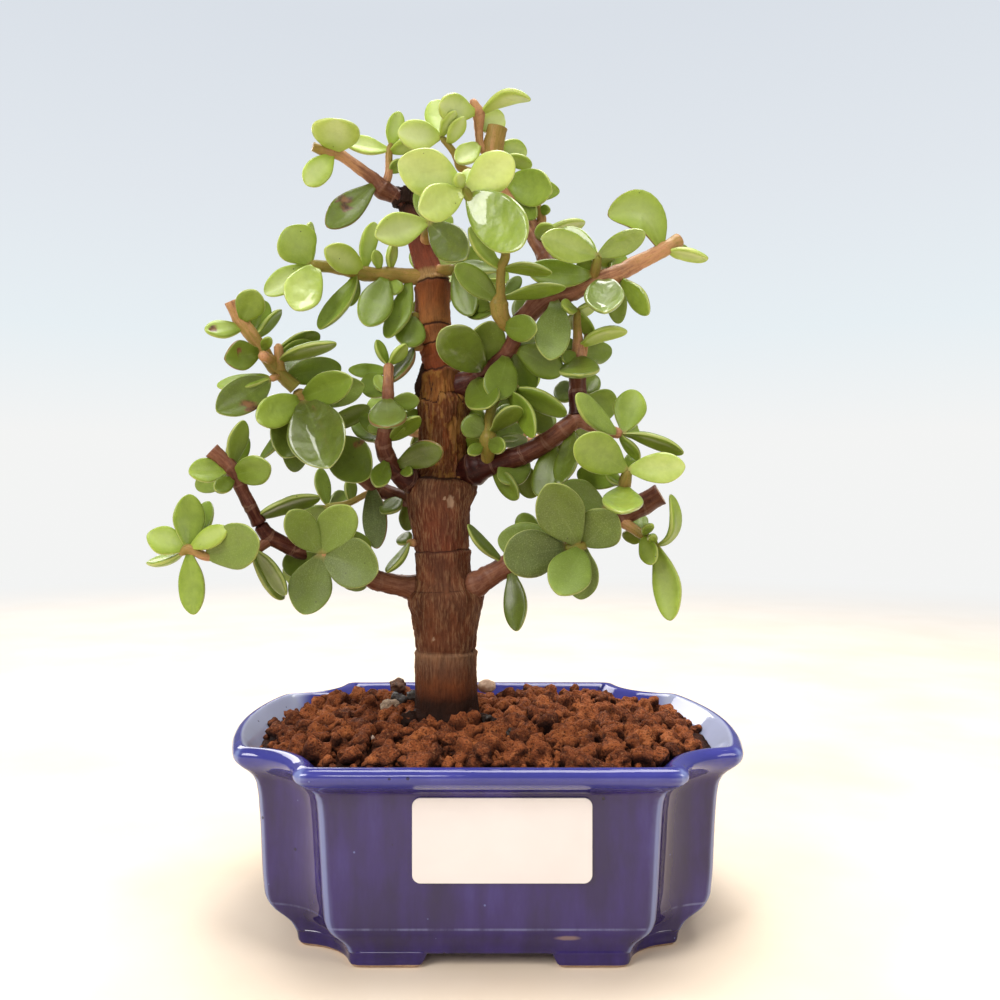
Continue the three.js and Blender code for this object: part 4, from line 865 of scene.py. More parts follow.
# %% Clay material
clay_soil, tree, place, shader = new_material("soil_clay")
lump = mark(tree, "lump")
coarse = noise_at(place, 420, 8, 0.65)
fine = noise_at(place, 1900, 5)
share = plus(times(coarse, 0.72), times(lump, 0.22))
colour = ramp(share, [
    (0.2, (0.036, 0.01, 0.004)), (0.36, (0.145, 0.036, 0.011)), (0.5, (0.305, 0.08, 0.023)),
    (0.64, (0.46, 0.138, 0.04)), (0.82, (0.62, 0.22, 0.066)),
])
colour = tinted(colour, steps(fine, 0.55, 0.72), 0.4, (0.6, 0.28, 0.12))
pores = steps(fine, 0.46, 0.36)
colour = tinted(colour, pores, 0.7, (0.022, 0.008, 0.005))
# Painted shade: granule sides that face down or sideways are darkened as if in shadow, and so is the mound
# seen in the gaps, which has no up mark.
painted_shade_down = steps(mark(tree, "up"), 0.75, -0.3)
colour = blend_colours(painted_shade_down, colour, (0.16, 0.12, 0.11), "MULTIPLY")
normal = bump(fine, 1.0, 0.001, bump(coarse, 0.9, 0.0014))
feed(shader, Base_Color=colour, Roughness=0.78, Specular_IOR_Level=0.22, Normal=normal)
mound = mesh_piece("soil_mound", mound_skin, clay_soil)

# %% Granules by Geometry Nodes
GRANULES_PER_M2 = 400000.0


def random_value(tree, kind, seed, low=None, high=None):
    """A random number or vector for each granule."""
    node = tree.nodes.new("FunctionNodeRandomValue")
    node.data_type = kind
    feed(node, Seed=seed)
    if low:
        feed(node, Min=low, Max=high)
    return next(s for s in node.outputs if s.enabled)


def stored(tree, geometry, name, value, domain="POINT"):
    """Stores a value as a mark that the material reads."""
    return wire(tree, "GeometryNodeStoreNamedAttribute", {"data_type": "FLOAT", "domain": domain},
                Geometry=geometry, Name=name, Value=value).outputs[0]


heap, sockets, out = geometry_tree("granules", Spacing="Float", Radius="Float", Lift="Float",
                                   Roundness="Int", Seed="Int", Finish="Material")
mesh, spacing, radius, lift, roundness, seed, finish = sockets[:7]
free_mark = wire(heap, "GeometryNodeInputNamedAttribute", {"data_type": "FLOAT"}, Name="free")
scatter = wire(heap, "GeometryNodeDistributePointsOnFaces", {"distribute_method": "POISSON"},
               Mesh=mesh, Distance_Min=spacing, Density_Max=GRANULES_PER_M2, Seed=seed,
               Density_Factor=maths("GREATER_THAN", free_mark.outputs["Attribute"], 0.5))
ball = wire(heap, "GeometryNodeMeshIcoSphere", Radius=radius, Subdivisions=roundness)
spun = random_value(heap, "FLOAT_VECTOR", seed, (0, 0, 0), (6.28, 6.28, 6.28))
stretch = random_value(heap, "FLOAT_VECTOR", plus(seed, 7.0), (0.72, 0.72, 0.62), (1.28, 1.22, 1.0))
placed = wire(heap, "GeometryNodeInstanceOnPoints", Points=scatter.outputs["Points"],
              Instance=ball.outputs["Mesh"], Scale=stretch, Rotation=spun)
tint = random_value(heap, "FLOAT", plus(seed, 3.0))
tinged = stored(heap, placed.outputs["Instances"], "lump", tint, "INSTANCE")
real = wire(heap, "GeometryNodeRealizeInstances", Geometry=tinged)
where = heap.nodes.new("GeometryNodeInputPosition").outputs[0]
broad = minus(noise_at(where, 260.0, 1.0), 0.5)
close = minus(noise_at(where, 900.0, 2.0), 0.5)
push = times(plus(times(broad, 2.4), times(close, 0.75)), radius)
facing = heap.nodes.new("GeometryNodeInputNormal").outputs[0]
offset = wire(heap, "ShaderNodeVectorMath", {"operation": "SCALE"}, Vector=facing, Scale=push)
lumpy = wire(heap, "GeometryNodeSetPosition", Geometry=real.outputs[0], Offset=offset.outputs[0])
lifted = wire(heap, "GeometryNodeTransform", Geometry=lumpy.outputs[0],
              Translation=wire(heap, "ShaderNodeCombineXYZ", Z=lift).outputs[0])
# The up mark feeds painted shade: the clay material darkens the granules' sides that face away from above.
facing_up = wire(heap, "ShaderNodeSeparateXYZ", Vector=facing).outputs["Z"]
lit = stored(heap, lifted.outputs[0], "up", facing_up)
smooth = wire(heap, "GeometryNodeSetShadeSmooth", Geometry=lit, Shade_Smooth=True)
painted = wire(heap, "GeometryNodeSetMaterial", Geometry=smooth.outputs[0], Material=finish)
plug(out.inputs[0], painted.outputs[0])

GRANULES = [
    # name, spacing, radius, lift, roundness, seed
    ("soil_granules_large", 6.0, 3.2, 1.2, 3, 11),
    ("soil_granules_middling", 4.6, 2.1, 0.8, 3, 23),
    ("soil_granules_small", 2.8, 1.05, 0.4, 2, 37),
]
for name, spacing, radius, lift, roundness, seed in GRANULES:
    piece = baked_with(heap, name, {
        "Spacing": spacing * MM, "Radius": radius * MM, "Lift": lift * MM,
        "Roundness": roundness, "Seed": seed, "Finish": clay_soil}, source=mound)
    settle(piece, "soil")
settle(mound, "soil", "soil")

# %% [markdown]
# ## Stones on the soil
#
# Four stones differ from the granules: a smooth tan pebble, a brown lump, a speckled grey one
# and a small white chip. Each is a finely divided ball pushed about by noise, with a material
# of its own made from the same speck group.

# %% Stones
def ball_points(divisions):
    """The points and triangles of a finely divided ball of radius 1."""
    ball = bmesh.new()
    bmesh.ops.create_icosphere(ball, subdivisions=divisions, radius=1)
    points = np.array([v.co[:] for v in ball.verts])
    tris = np.array([[v.index for v in f.verts] for f in ball.faces])
    ball.free()
    return points, tris


def plain_skin(points, tris):
    """A skin of triangles without marks."""
    return {"points": points, "quads": np.zeros((0, 4), int), "tris": tris, "marks": {}}


for seed, (name, spot, sizes, turn, lumps, colours, share) in enumerate(STONES):
    points, tris = ball_points(5)
    points *= (1 + lumps * fractal(points, 0.8, 4, seed + 40))[:, None]
    points *= np.array(sizes) / 2
    c, s = math.cos(turn), math.sin(turn)
    points = points @ np.array([[c, s, 0], [-s, c, 0], [0, 0, 1]]) + np.array(spot)
    stone_look, tree, place, shader = new_material(name + "_look")
    veins = noise_at(place, 700, 6)
    colour = ramp(veins, [(0.3, colours[0]), (0.7, colours[1])])
    dots = speck_mask(place, 1600, 0.35, share)
    colour = tinted(colour, dots, 0.7, (0.03, 0.025, 0.02))
    feed(shader, Base_Color=colour, Roughness=0.7, Normal=bump(veins, 0.5, 0.0003))
    settle(mesh_piece(name + "_lump", plain_skin(points, tris), stone_look), name, name)

# %% Charcoal among the granules
black, tree, place, shader = new_material("soil_charcoal_look")
shine = noise_at(place, 900, 4)
feed(shader, Base_Color=ramp(shine, [(0.35, (0.007, 0.004, 0.003)), (0.7, (0.034, 0.022, 0.016))]),
     Roughness=shine)
bits = []
for seed, (x, y, z, radius) in enumerate(CHARCOAL):
    points, tris = ball_points(4)
    points *= (radius * (1 + 0.5 * fractal(points, 0.9, 4, seed + 80)))[:, None]
    bits.append(plain_skin(points + (x, y, z), tris))
settle(mesh_piece("soil_charcoal", join_skins(bits), black), "soil")

# %% [markdown]
# ## Wood: paths and tubes
#
# Trunk, branches and twigs are tubes along curves. A spline runs through the listed points,
# rings stand square to it, and the radius runs straight between the points, so that the
# steps at the trunk's nodes stay crisp. Each ring point knows how far along it is and which
# way it faces, and the bark's relief is laid out on those two measures.

# %% Paths and rings
def path_through(points, spacing):
    """Places, radii and running lengths of a spline through (x, z, depth, radius) points."""
    knots = np.array([sighted(x, z, depth) for x, z, depth, _ in points])
    knot_radii = np.array([radius * sight_scale(depth) for _, _, depth, radius in points])
    spans = np.linalg.norm(np.diff(knots, axis=0), axis=1)
    times = np.concatenate([[0], np.cumsum(np.sqrt(spans))])
    tangents = np.gradient(knots, times, axis=0)
    places, radii = [], []
    for i, span in enumerate(spans):
        u = np.linspace(0, 1, max(2, math.ceil(span / spacing)), endpoint=False)[:, None]
        width = times[i + 1] - times[i]
        places.append((2 * u**3 - 3 * u**2 + 1) * knots[i] + (u**3 - 2 * u**2 + u) * width * tangents[i]
                      + (3 * u**2 - 2 * u**3) * knots[i + 1] + (u**3 - u**2) * width * tangents[i + 1])
        radii.append(knot_radii[i] + (knot_radii[i + 1] - knot_radii[i]) * u[:, 0])
    starts = np.cumsum([0] + [len(part) for part in places])
    places = np.vstack(places + [knots[-1:]])
    radii = np.concatenate(radii + [knot_radii[-1:]])
    runs = run_along(places)
    return places, radii, runs, runs[starts]


def tube_points(places, radii, sides, relief=0.0, steady=0):
    """Rings of points round a path; relief is added to the radius at each point.

    A steady path takes its direction from a running average, so that its rings don't rock."""
    along = np.gradient(averaged(places, steady, 0, False) if steady else places, axis=0)
    along /= np.linalg.norm(along, axis=1, keepdims=True)
    reach = places[-1] - places[0]
    level = abs(reach[1]) > 0.75 * np.linalg.norm(reach)
    reference = np.array([0.0, 0, 1]) if level else np.array([0.0, -1, 0])
    front = reference - along * (along @ reference)[:, None]
    front /= np.linalg.norm(front, axis=1, keepdims=True)
    right = np.cross(front, along)
    turn = np.linspace(0, 2 * math.pi, sides, endpoint=False)
    around = np.cos(turn)[None, :, None] * right[:, None] + np.sin(turn)[None, :, None] * front[:, None]
    return places[:, None] + (radii[:, None] + relief)[..., None] * around


def on_sight_plane(points):
    """Where points appear on the sight plane, as x and z."""
    reach = -EYE[1] / (points[..., 1] - EYE[1])
    across = EYE[0] + (points[..., 0] - EYE[0]) * reach - SIGHT_START
    return (across, EYE[2] + (points[..., 2] - EYE[2]) * reach)

# %% [markdown]
# ## The trunk
#
# The bark is what makes the small tree look old. Low down it is cracked lengthwise into
# ragged ridges, a ring scar runs round at each old leaf node, and the upper third is smooth
# and red. Cracks are noise stretched along the trunk and folded so that its zero lines become
# sharp valleys. The same relief goes to the material as a mark, so valleys are dark and
# ridges pale exactly where the form has them.

# %% Trunk measures
TRUNK = [
    (-11.5, 42, 3, 10.5), (-11.6, 50, 3, 9.9), (-11.6, 53, 3, 9.1), (-11.6, 56, 3, 8.8),
    (-11.7, 62, 3, 8.6), (-11.7, 68.6, 3, 8.9), (-11.7, 69.2, 3, 8.6), (-11.8, 76, 3, 9),
    (-11.9, 82, 3, 10), (-12, 84.6, 3, 9.9), (-12.1, 86, 3, 9.2), (-12.2, 87.4, 3, 8.2),
    (-12.3, 89, 3, 7.6), (-12.6, 92, 3, 7.4), (-12.7, 97, 3, 7.7), (-12.9, 97.8, 3, 7.4),
    (-13.2, 104, 3, 8), (-13.6, 112, 3, 9), (-13.6, 115.4, 3, 9), (-13.4, 117.2, 3, 8.3),
    (-12.9, 118.5, 3, 7.2), (-12.6, 120, 3, 6.4), (-12.3, 125, 3, 6.3), (-12.5, 135, 3, 6.9),
    (-12.6, 140, 3, 6.9), (-12.9, 141.2, 3, 6.2), (-13.1, 147.6, 3.5, 5.5), (-13.4, 149, 4, 4.9),
    (-14, 152.6, 4.3, 4.7), (-14.5, 156, 4.5, 4.9), (-14.9, 157, 4.6, 4.7), (-15.6, 161.2, 5, 5.3),
    (-15.7, 162.2, 5, 5.3), (-15.7, 168, 5.3, 5), (-15.8, 174, 5.5, 5.3), (-16.2, 175.2, 5.5, 4.1),
    (-17.4, 179.4, 5.7, 3.8), (-19.1, 184.5, 6, 3.4), (-21.4, 193, 6.5, 3.2), (-23.6, 199, 7, 2.6),
]
TRUNK_ROOTS = [
    [(-14, 49.5, 0, 3.4), (-22, 48.6, -5, 2.6), (-29, 46.4, -9, 1.6)],
    [(-8, 49.5, 0, 3.4), (-1, 48.4, -7, 2.4), (6, 46, -12, 1.5)],
    [(-10, 51, 8, 3.2), (-4, 51, 17, 2.3), (2, 50, 25, 1.4)],
]
STUMP_SPLINTERS = [
    [(-23, 195.5, 7, 2.3), (-24.2, 200.4, 7, 1.5)],
    [(-22.6, 195, 8, 2), (-22.2, 199.6, 9, 1.2)],
    [(-25, 195.8, 6, 1.9), (-27, 200.2, 5.5, 1)],
    [(-21.4, 196, 5, 1.8), (-20.4, 200.4, 4.5, 1.1)],
    [(-23.4, 196.6, 4, 1.7), (-23, 201.2, 3.5, 0.9)],
    [(-25.2, 196.6, 8.5, 1.6), (-25.8, 200.8, 9.5, 0.8)],
]
BARK_FLAKE = [
    (-19.2, 140.5, 2.5, 1.5), (-19.3, 144, 2, 1.3), (-18.5, 147, 2, 1.2), (-18.3, 150.5, 2.5, 0.5),
]
# Height of each ring scar and its depth.
RING_SCARS = [
    (68.9, 0.25), (86.1, 0.3), (97.4, 0.35), (118, 0.45), (140.6, 0.5), (149, 0.4), (153.6, 0.25),
    (156.6, 0.4), (161.8, 0.45), (174.8, 0.6),
]
# How deep the lengthwise cracks are at rising heights.
CRACK_DEPTHS = [
    (42, 0.3), (60, 0.35), (68, 0.55), (76, 0.8), (98, 0.85), (104, 0.7), (118, 0.9), (119, 1.1),
    (138, 1.2), (147, 0.9), (149, 0.16), (175, 0.1), (176, 0.15), (192, 0.3), (199, 1.2),
]
# Swellings where branches leave: height, direction in degrees, size, width.
COLLARS = [
    (85, 180, 0.7, 4.5), (85, 0, 0.6, 4.5), (116.5, 172, 1.8, 4.5), (121, 5, 1.2, 3.6),
    (140, 190, 0.6, 3), (76, 10, 0.7, 2.2), (107, 0, 0.5, 3),
]
# Pale healed spots: x and z on the sight plane, half width and half height.
HEALED_SPOTS = [
    (-10.4, 111.3, 0.8, 1.5), (-15.2, 72.2, 0.4, 0.35), (-12.1, 112.3, 0.4, 0.4),
]
TRUNK_SIDES = 132
TRUNK_SPACING = 0.5
TRUNK_STEADY = 14
BARK_RADIUS = 9
COLLAR_RADIUS = 8
SPLINTER_SPACING = 0.6
SPLINTER_SIDES = 36


def bark_place(radii, runs, sides):
    """Places on unrolled bark: round the stem by its own radius, and along it."""
    turn = np.linspace(0, 2 * math.pi, sides, endpoint=False)
    ring = np.broadcast_arrays(radii[:, None] * np.cos(turn), radii[:, None] * np.sin(turn), runs[:, None])
    return np.stack(ring, axis=-1)


def bark_marks(place, **given):
    """The marks every wooden skin carries: its place on the bark, and shares that default to 0."""
    names = ("crack", "scar", "zone", "wood", "cut", "pale")
    marks = {name: np.broadcast_to(given.get(name, 0.0), place.shape[:2]).astype(float) for name in names}
    marks["bark_place"] = place
    return marks

# %% Trunk relief
places, radii, _, _ = path_through(TRUNK, TRUNK_SPACING)
turn = np.linspace(0, 2 * math.pi, TRUNK_SIDES, endpoint=False)
turns, tall = np.meshgrid(turn, places[:, 2])
round_trip = np.stack([np.cos(turns) * BARK_RADIUS, np.sin(turns) * BARK_RADIUS, tall], axis=-1)
waver = 0.4 * fractal(round_trip * (1, 1, 0.15), 3.5, 2, 11)
waver += 3.0 * fractal(round_trip, 4.0, 2, 12) * bell(tall - 142, 5)
zone = tall - waver
flank = np.abs(np.cos(turns))
cracked = np.interp(tall, *zip(*CRACK_DEPTHS)) * (0.6 + 0.5 * flank)
warped = round_trip + 2.0 * fractal(round_trip / (1, 1, 3), 5.0, 3, 1)[..., None]
coarse = np.clip(1 - np.abs(fractal(warped / (1, 1, 7), 1.9, 3, 2)) * 3.2, 0, 1) ** 1.6
fine = np.clip(1 - np.abs(fractal(round_trip / (1, 1, 5), 0.85, 2, 3)) * 3.0, 0, 1) ** 2
patchy = 0.6 + 0.4 * np.clip(fractal(round_trip / (1, 1, 2), 6.0, 2, 9) * 2 + 0.3, -1, 1)
plates = fractal(warped / (1, 1, 3.5), 3.2, 3, 5)
relief = cracked * (0.35 + 0.45 * plates - patchy * (0.8 * coarse + 0.3 * fine))
relief += 0.4 * fractal(round_trip / (1, 1, 1.5), 9.0, 2, 4) + 0.1 * fractal(round_trip, 1.2, 3, 6)
scar_mark = np.zeros_like(relief)
for level, deep in RING_SCARS:
    relief -= deep * bell(zone - level, 0.34)
    relief += 0.5 * deep * bell(zone - level + 1.0, 0.7)
    scar_mark = np.maximum(scar_mark, bell(zone - level, 0.42) * min(1, deep * 2.2))
for level, direction, size, width in COLLARS:
    off = np.arccos(np.clip(np.cos(turns - math.radians(direction)), -1, 1)) * COLLAR_RADIUS
    relief += size * bell(np.hypot(off, tall - level), width)
wrinkles = fractal(round_trip * (0.25, 0.25, 1), 0.8, 3, 7)
relief += 0.3 * wrinkles * np.interp(tall, [146, 149, 161, 163], [0, 1, 1, 0.2])
crack_mark = np.clip(0.2 - relief / 0.9, 0, 1) * np.clip(cracked * 2, 0.2, 1)
fibre_mark = np.clip(flank * 1.3 - 0.25 + 0.5 * fractal(round_trip / (1, 1, 2), 5.0, 2, 21), 0, 1)
fibre_mark *= np.interp(tall, [58, 63, 112, 119, 138, 147], [0, 1, 1, 0.7, 0.7, 0])
trunk_rings = tube_points(places, radii, TRUNK_SIDES, relief, TRUNK_STEADY)
seen_x, seen_z = on_sight_plane(trunk_rings)
pale = np.zeros_like(relief)
for x, z, half_width, half_height in HEALED_SPOTS:
    spot = np.hypot((seen_x - x) / half_width, (seen_z - z) / half_height)
    spot += 0.4 * fractal(trunk_rings, 0.8, 2, 8)
    pale = np.maximum(pale, np.clip(1.6 - spot, 0, 1) * (np.sin(turns) > 0))
trunk_skins = [ring_skin(trunk_rings, marks=bark_marks(
    round_trip, crack=crack_mark, scar=scar_mark, zone=zone, pale=pale, wood=fibre_mark))]
print("trunk relief in mm:", relief.min().round(2), "to", relief.max().round(2))

# %% Roots, splinters of the stump and a loose flake of bark
for seed, points in enumerate(TRUNK_ROOTS + STUMP_SPLINTERS + [BARK_FLAKE]):
    places, radii, runs, _ = path_through(points, SPLINTER_SPACING)
    plain = tube_points(places, radii, SPLINTER_SIDES)
    wobble = 0.6 * fractal(plain, 2.0, 3, 60 + seed) + 0.5 * fractal(plain, 0.8, 3, 70 + seed)
    wobble = wobble * radii[:, None] / 2
    rings = tube_points(places, radii, SPLINTER_SIDES, wobble)
    crack = 1.0 if points is BARK_FLAKE else np.clip(0.3 - wobble, 0, 1)
    trunk_skins.append(ring_skin(rings, marks=bark_marks(
        bark_place(radii, runs, SPLINTER_SIDES), crack=crack, zone=rings[..., 2])))

# %% [markdown]
# ## Bark materials
#
# The trunk's colour changes at its ring scars: nearly black where it meets the soil, grey-brown
# and cracked above, corky with orange streaks, then smooth and red. A ramp over the `zone`
# mark, which is the height with the scars' waver taken out, gives these bands sharp edges that
# follow the scars. The twigs have their own material, from maroon through brown to green.

# %% Trunk bark
BARK_LOW = 42.0
BARK_SPAN = 160.0
BARK_BANDS = [
    (50, (0.016, 0.006, 0.004)), (55, (0.024, 0.009, 0.005)), (57, (0.075, 0.023, 0.01)),
    (60, (0.125, 0.04, 0.015)), (64.5, (0.134, 0.0579, 0.032)), (68.6, (0.206, 0.115, 0.068)),
    (69.2, (0.107, 0.0383, 0.0192)), (84, (0.121, 0.0477, 0.0248)), (86.2, (0.125, 0.0511, 0.0272)),
    (97.2, (0.0984, 0.034, 0.0192)), (97.7, (0.116, 0.0357, 0.0192)), (106, (0.111, 0.0357, 0.0192)),
    (117.5, (0.103, 0.0426, 0.0216)), (118.4, (0.0804, 0.0267, 0.00896)),
    (128, (0.102, 0.0316, 0.00896)), (139.5, (0.102, 0.0334, 0.00987)), (141.2, (0.19, 0.0757, 0.0181)),
    (147.8, (0.125, 0.0453, 0.0106)), (149.4, (0.148, 0.0352, 0.0121)), (156, (0.17, 0.0507, 0.0175)),
    (157, (0.227, 0.093, 0.0361)), (161.6, (0.205, 0.0744, 0.0266)), (162.2, (0.216, 0.0986, 0.0342)),
    (168, (0.176, 0.0639, 0.0209)), (174.5, (0.142, 0.0437, 0.0152)), (175.2, (0.307, 0.199, 0.0855)),
    (177.8, (0.292, 0.179, 0.0741)), (178.8, (0.205, 0.0564, 0.0313)), (186, (0.132, 0.0358, 0.0217)),
    (194, (0.0731, 0.0262, 0.0171)), (197, (0.0161, 0.00619, 0.00342)),
]
bark_trunk, tree, place, shader = new_material("bark_trunk")
zone_mark = mark(tree, "zone")
crack_mark = mark(tree, "crack")
scar_mark = mark(tree, "scar")
pale_mark = mark(tree, "pale")
unrolled = mark(tree, "bark_place", "Vector")
fibres = noise_at(stretched(unrolled, (1, 1, 0.13)), 2.3, 8, 0.7)
blotches = noise_at(stretched(place, (1, 1, 0.5)), 260, 6, 0.6)
grain = noise_at(place, 2600, 3)
band_share = maths("DIVIDE", minus(zone_mark, BARK_LOW), BARK_SPAN)
bands = ramp(band_share, [((z - BARK_LOW) / BARK_SPAN, colour) for z, colour in BARK_BANDS])
colour = blend_colours(steps(blotches, 0.35, 0.68), bands, (1.45, 1.28, 1.12), "MULTIPLY")
dark_share = times(steps(fibres, 0.52, 0.4), 0.5)
colour = blend_colours(dark_share, colour, (0.45, 0.38, 0.34), "MULTIPLY")
corky = times(steps(zone_mark, 117.9, 118.3), steps(zone_mark, 150, 148.4))
streak_share = times(corky, steps(blotches, 0.53, 0.6))
colour = tinted(colour, streak_share, 0.6, (0.3, 0.15, 0.035))
rusty = noise_at(stretched(place, (1, 1, 0.3), (0.2, 0.1, 0)), 420, 4)
rusty_share = times(corky, steps(rusty, 0.58, 0.66))
colour = tinted(colour, rusty_share, 0.5, (0.22, 0.05, 0.012))
ridge = minus(1.0, steps(crack_mark, 0.0, 0.22))
rough_zone = times(steps(zone_mark, 66, 70), steps(zone_mark, 146, 141))
ridge_share = times(times(ridge, rough_zone), steps(fibres, 0.46, 0.6))
colour = tinted(colour, ridge_share, 0.35, (0.31, 0.18, 0.092))
fibre_mark = mark(tree, "wood")
fibre_share = times(fibre_mark, steps(fibres, 0.5, 0.6))
colour = tinted(colour, fibre_share, 0.5, (0.33, 0.19, 0.098))
colour = blend_colours(steps(crack_mark, 0.5, 1.0), colour, (0.035, 0.014, 0.009))
colour = tinted(colour, steps(scar_mark, 0.4, 0.75), 0.85, (0.028, 0.01, 0.006))
colour = tinted(colour, steps(pale_mark, 0.1, 0.7), 0.8, (0.4, 0.26, 0.17))
relief_height = plus(times(fibres, 0.8), times(grain, 0.3))
feed(shader, Base_Color=colour, Roughness=plus(0.5, times(grain, 0.3)), Specular_IOR_Level=0.14,
     Normal=bump(relief_height, 0.8, 0.0006))

# %% Twig bark
bark_twig, tree, place, shader = new_material("bark_twig")
wood_mark = mark(tree, "wood")
scar_mark = mark(tree, "scar")
crack_mark = mark(tree, "crack")
cut_mark = mark(tree, "cut")
mottle = noise_at(place, 420, 5, 0.6)
grain = noise_at(place, 2400, 4)
unrolled = mark(tree, "bark_place", "Vector")
fibres = noise_at(stretched(unrolled, (1, 1, 0.1)), 1.6, 4, 0.6)
wood_share = swayed(wood_mark, mottle, 0.18)
wood_share = swayed(wood_share, fibres, 0.3)
colour = ramp(wood_share, [
    (0.0, (0.018, 0.0035, 0.003)), (0.14, (0.05, 0.01, 0.007)), (0.27, (0.14, 0.052, 0.03)),
    (0.37, (0.24, 0.105, 0.06)), (0.47, (0.48, 0.25, 0.125)), (0.58, (0.29, 0.19, 0.052)),
    (0.72, (0.19, 0.16, 0.03)), (0.86, (0.22, 0.25, 0.042)), (1.0, (0.38, 0.44, 0.09)),
])
colour = tinted(colour, steps(grain, 0.6, 0.72), 0.15, (0.26, 0.17, 0.11))
colour = tinted(colour, steps(grain, 0.42, 0.3), 0.5, (0.55, 0.42, 0.4), "MULTIPLY")
pale_ring = times(steps(scar_mark, 0.12, 0.4), steps(scar_mark, 0.85, 0.6))
old_wood = steps(wood_mark, 0.42, 0.22)
colour = tinted(colour, pale_ring, times(old_wood, 0.22), (0.34, 0.2, 0.14))
ring_share = plus(0.22, times(old_wood, 0.5))
colour = tinted(colour, steps(scar_mark, 0.6, 0.92), ring_share, (0.045, 0.016, 0.01))
colour = blend_colours(steps(crack_mark, 0.2, 0.9), colour, (0.012, 0.006, 0.005))
cut_colour = ramp(swayed(cut_mark, mottle, 0.25), [
    (0.3, (0.1, 0.045, 0.025)), (0.55, (0.46, 0.33, 0.2)), (0.8, (0.36, 0.2, 0.11)),
    (0.97, (0.13, 0.06, 0.035)),
])
colour = blend_colours(steps(cut_mark, 0.2, 0.35), colour, cut_colour)
relief_height = plus(plus(times(fibres, 0.8), times(grain, 0.3)), mottle)
feed(shader, Base_Color=colour, Roughness=0.36, Specular_IOR_Level=0.14, Subsurface_Weight=0.05,
     Subsurface_Radius=(0.001, 0.0006, 0.0003), Normal=bump(relief_height, 0.35, 0.0003))

# %% Trunk piece
trunk = mesh_piece("trunk", join_skins(trunk_skins), bark_trunk)
settle(trunk, "bark", "trunk")

# %% [markdown]
# ## Shoots: twigs and leaves
#
# Thirty-five shoots carry 260 leaves, and one table lists them by the node each stands for.
# A shoot has a name, its wood at the base and at the tip, from 0 for maroon to 1 for
# yellow-green, a digit of brightness and a letter of surface for each leaf, its stems and its
# leaves. The letters are w for wet, m for bloomed, r for red-rimmed and b for both of these.
# A stem is a row of points (x, z, depth, radius). A leaf is (base x, base z, base depth,
# tip x, tip z, tip depth, width), then the turn of its face in degrees if it has one, then a
# point (x, z) that it bends through if it is curled.

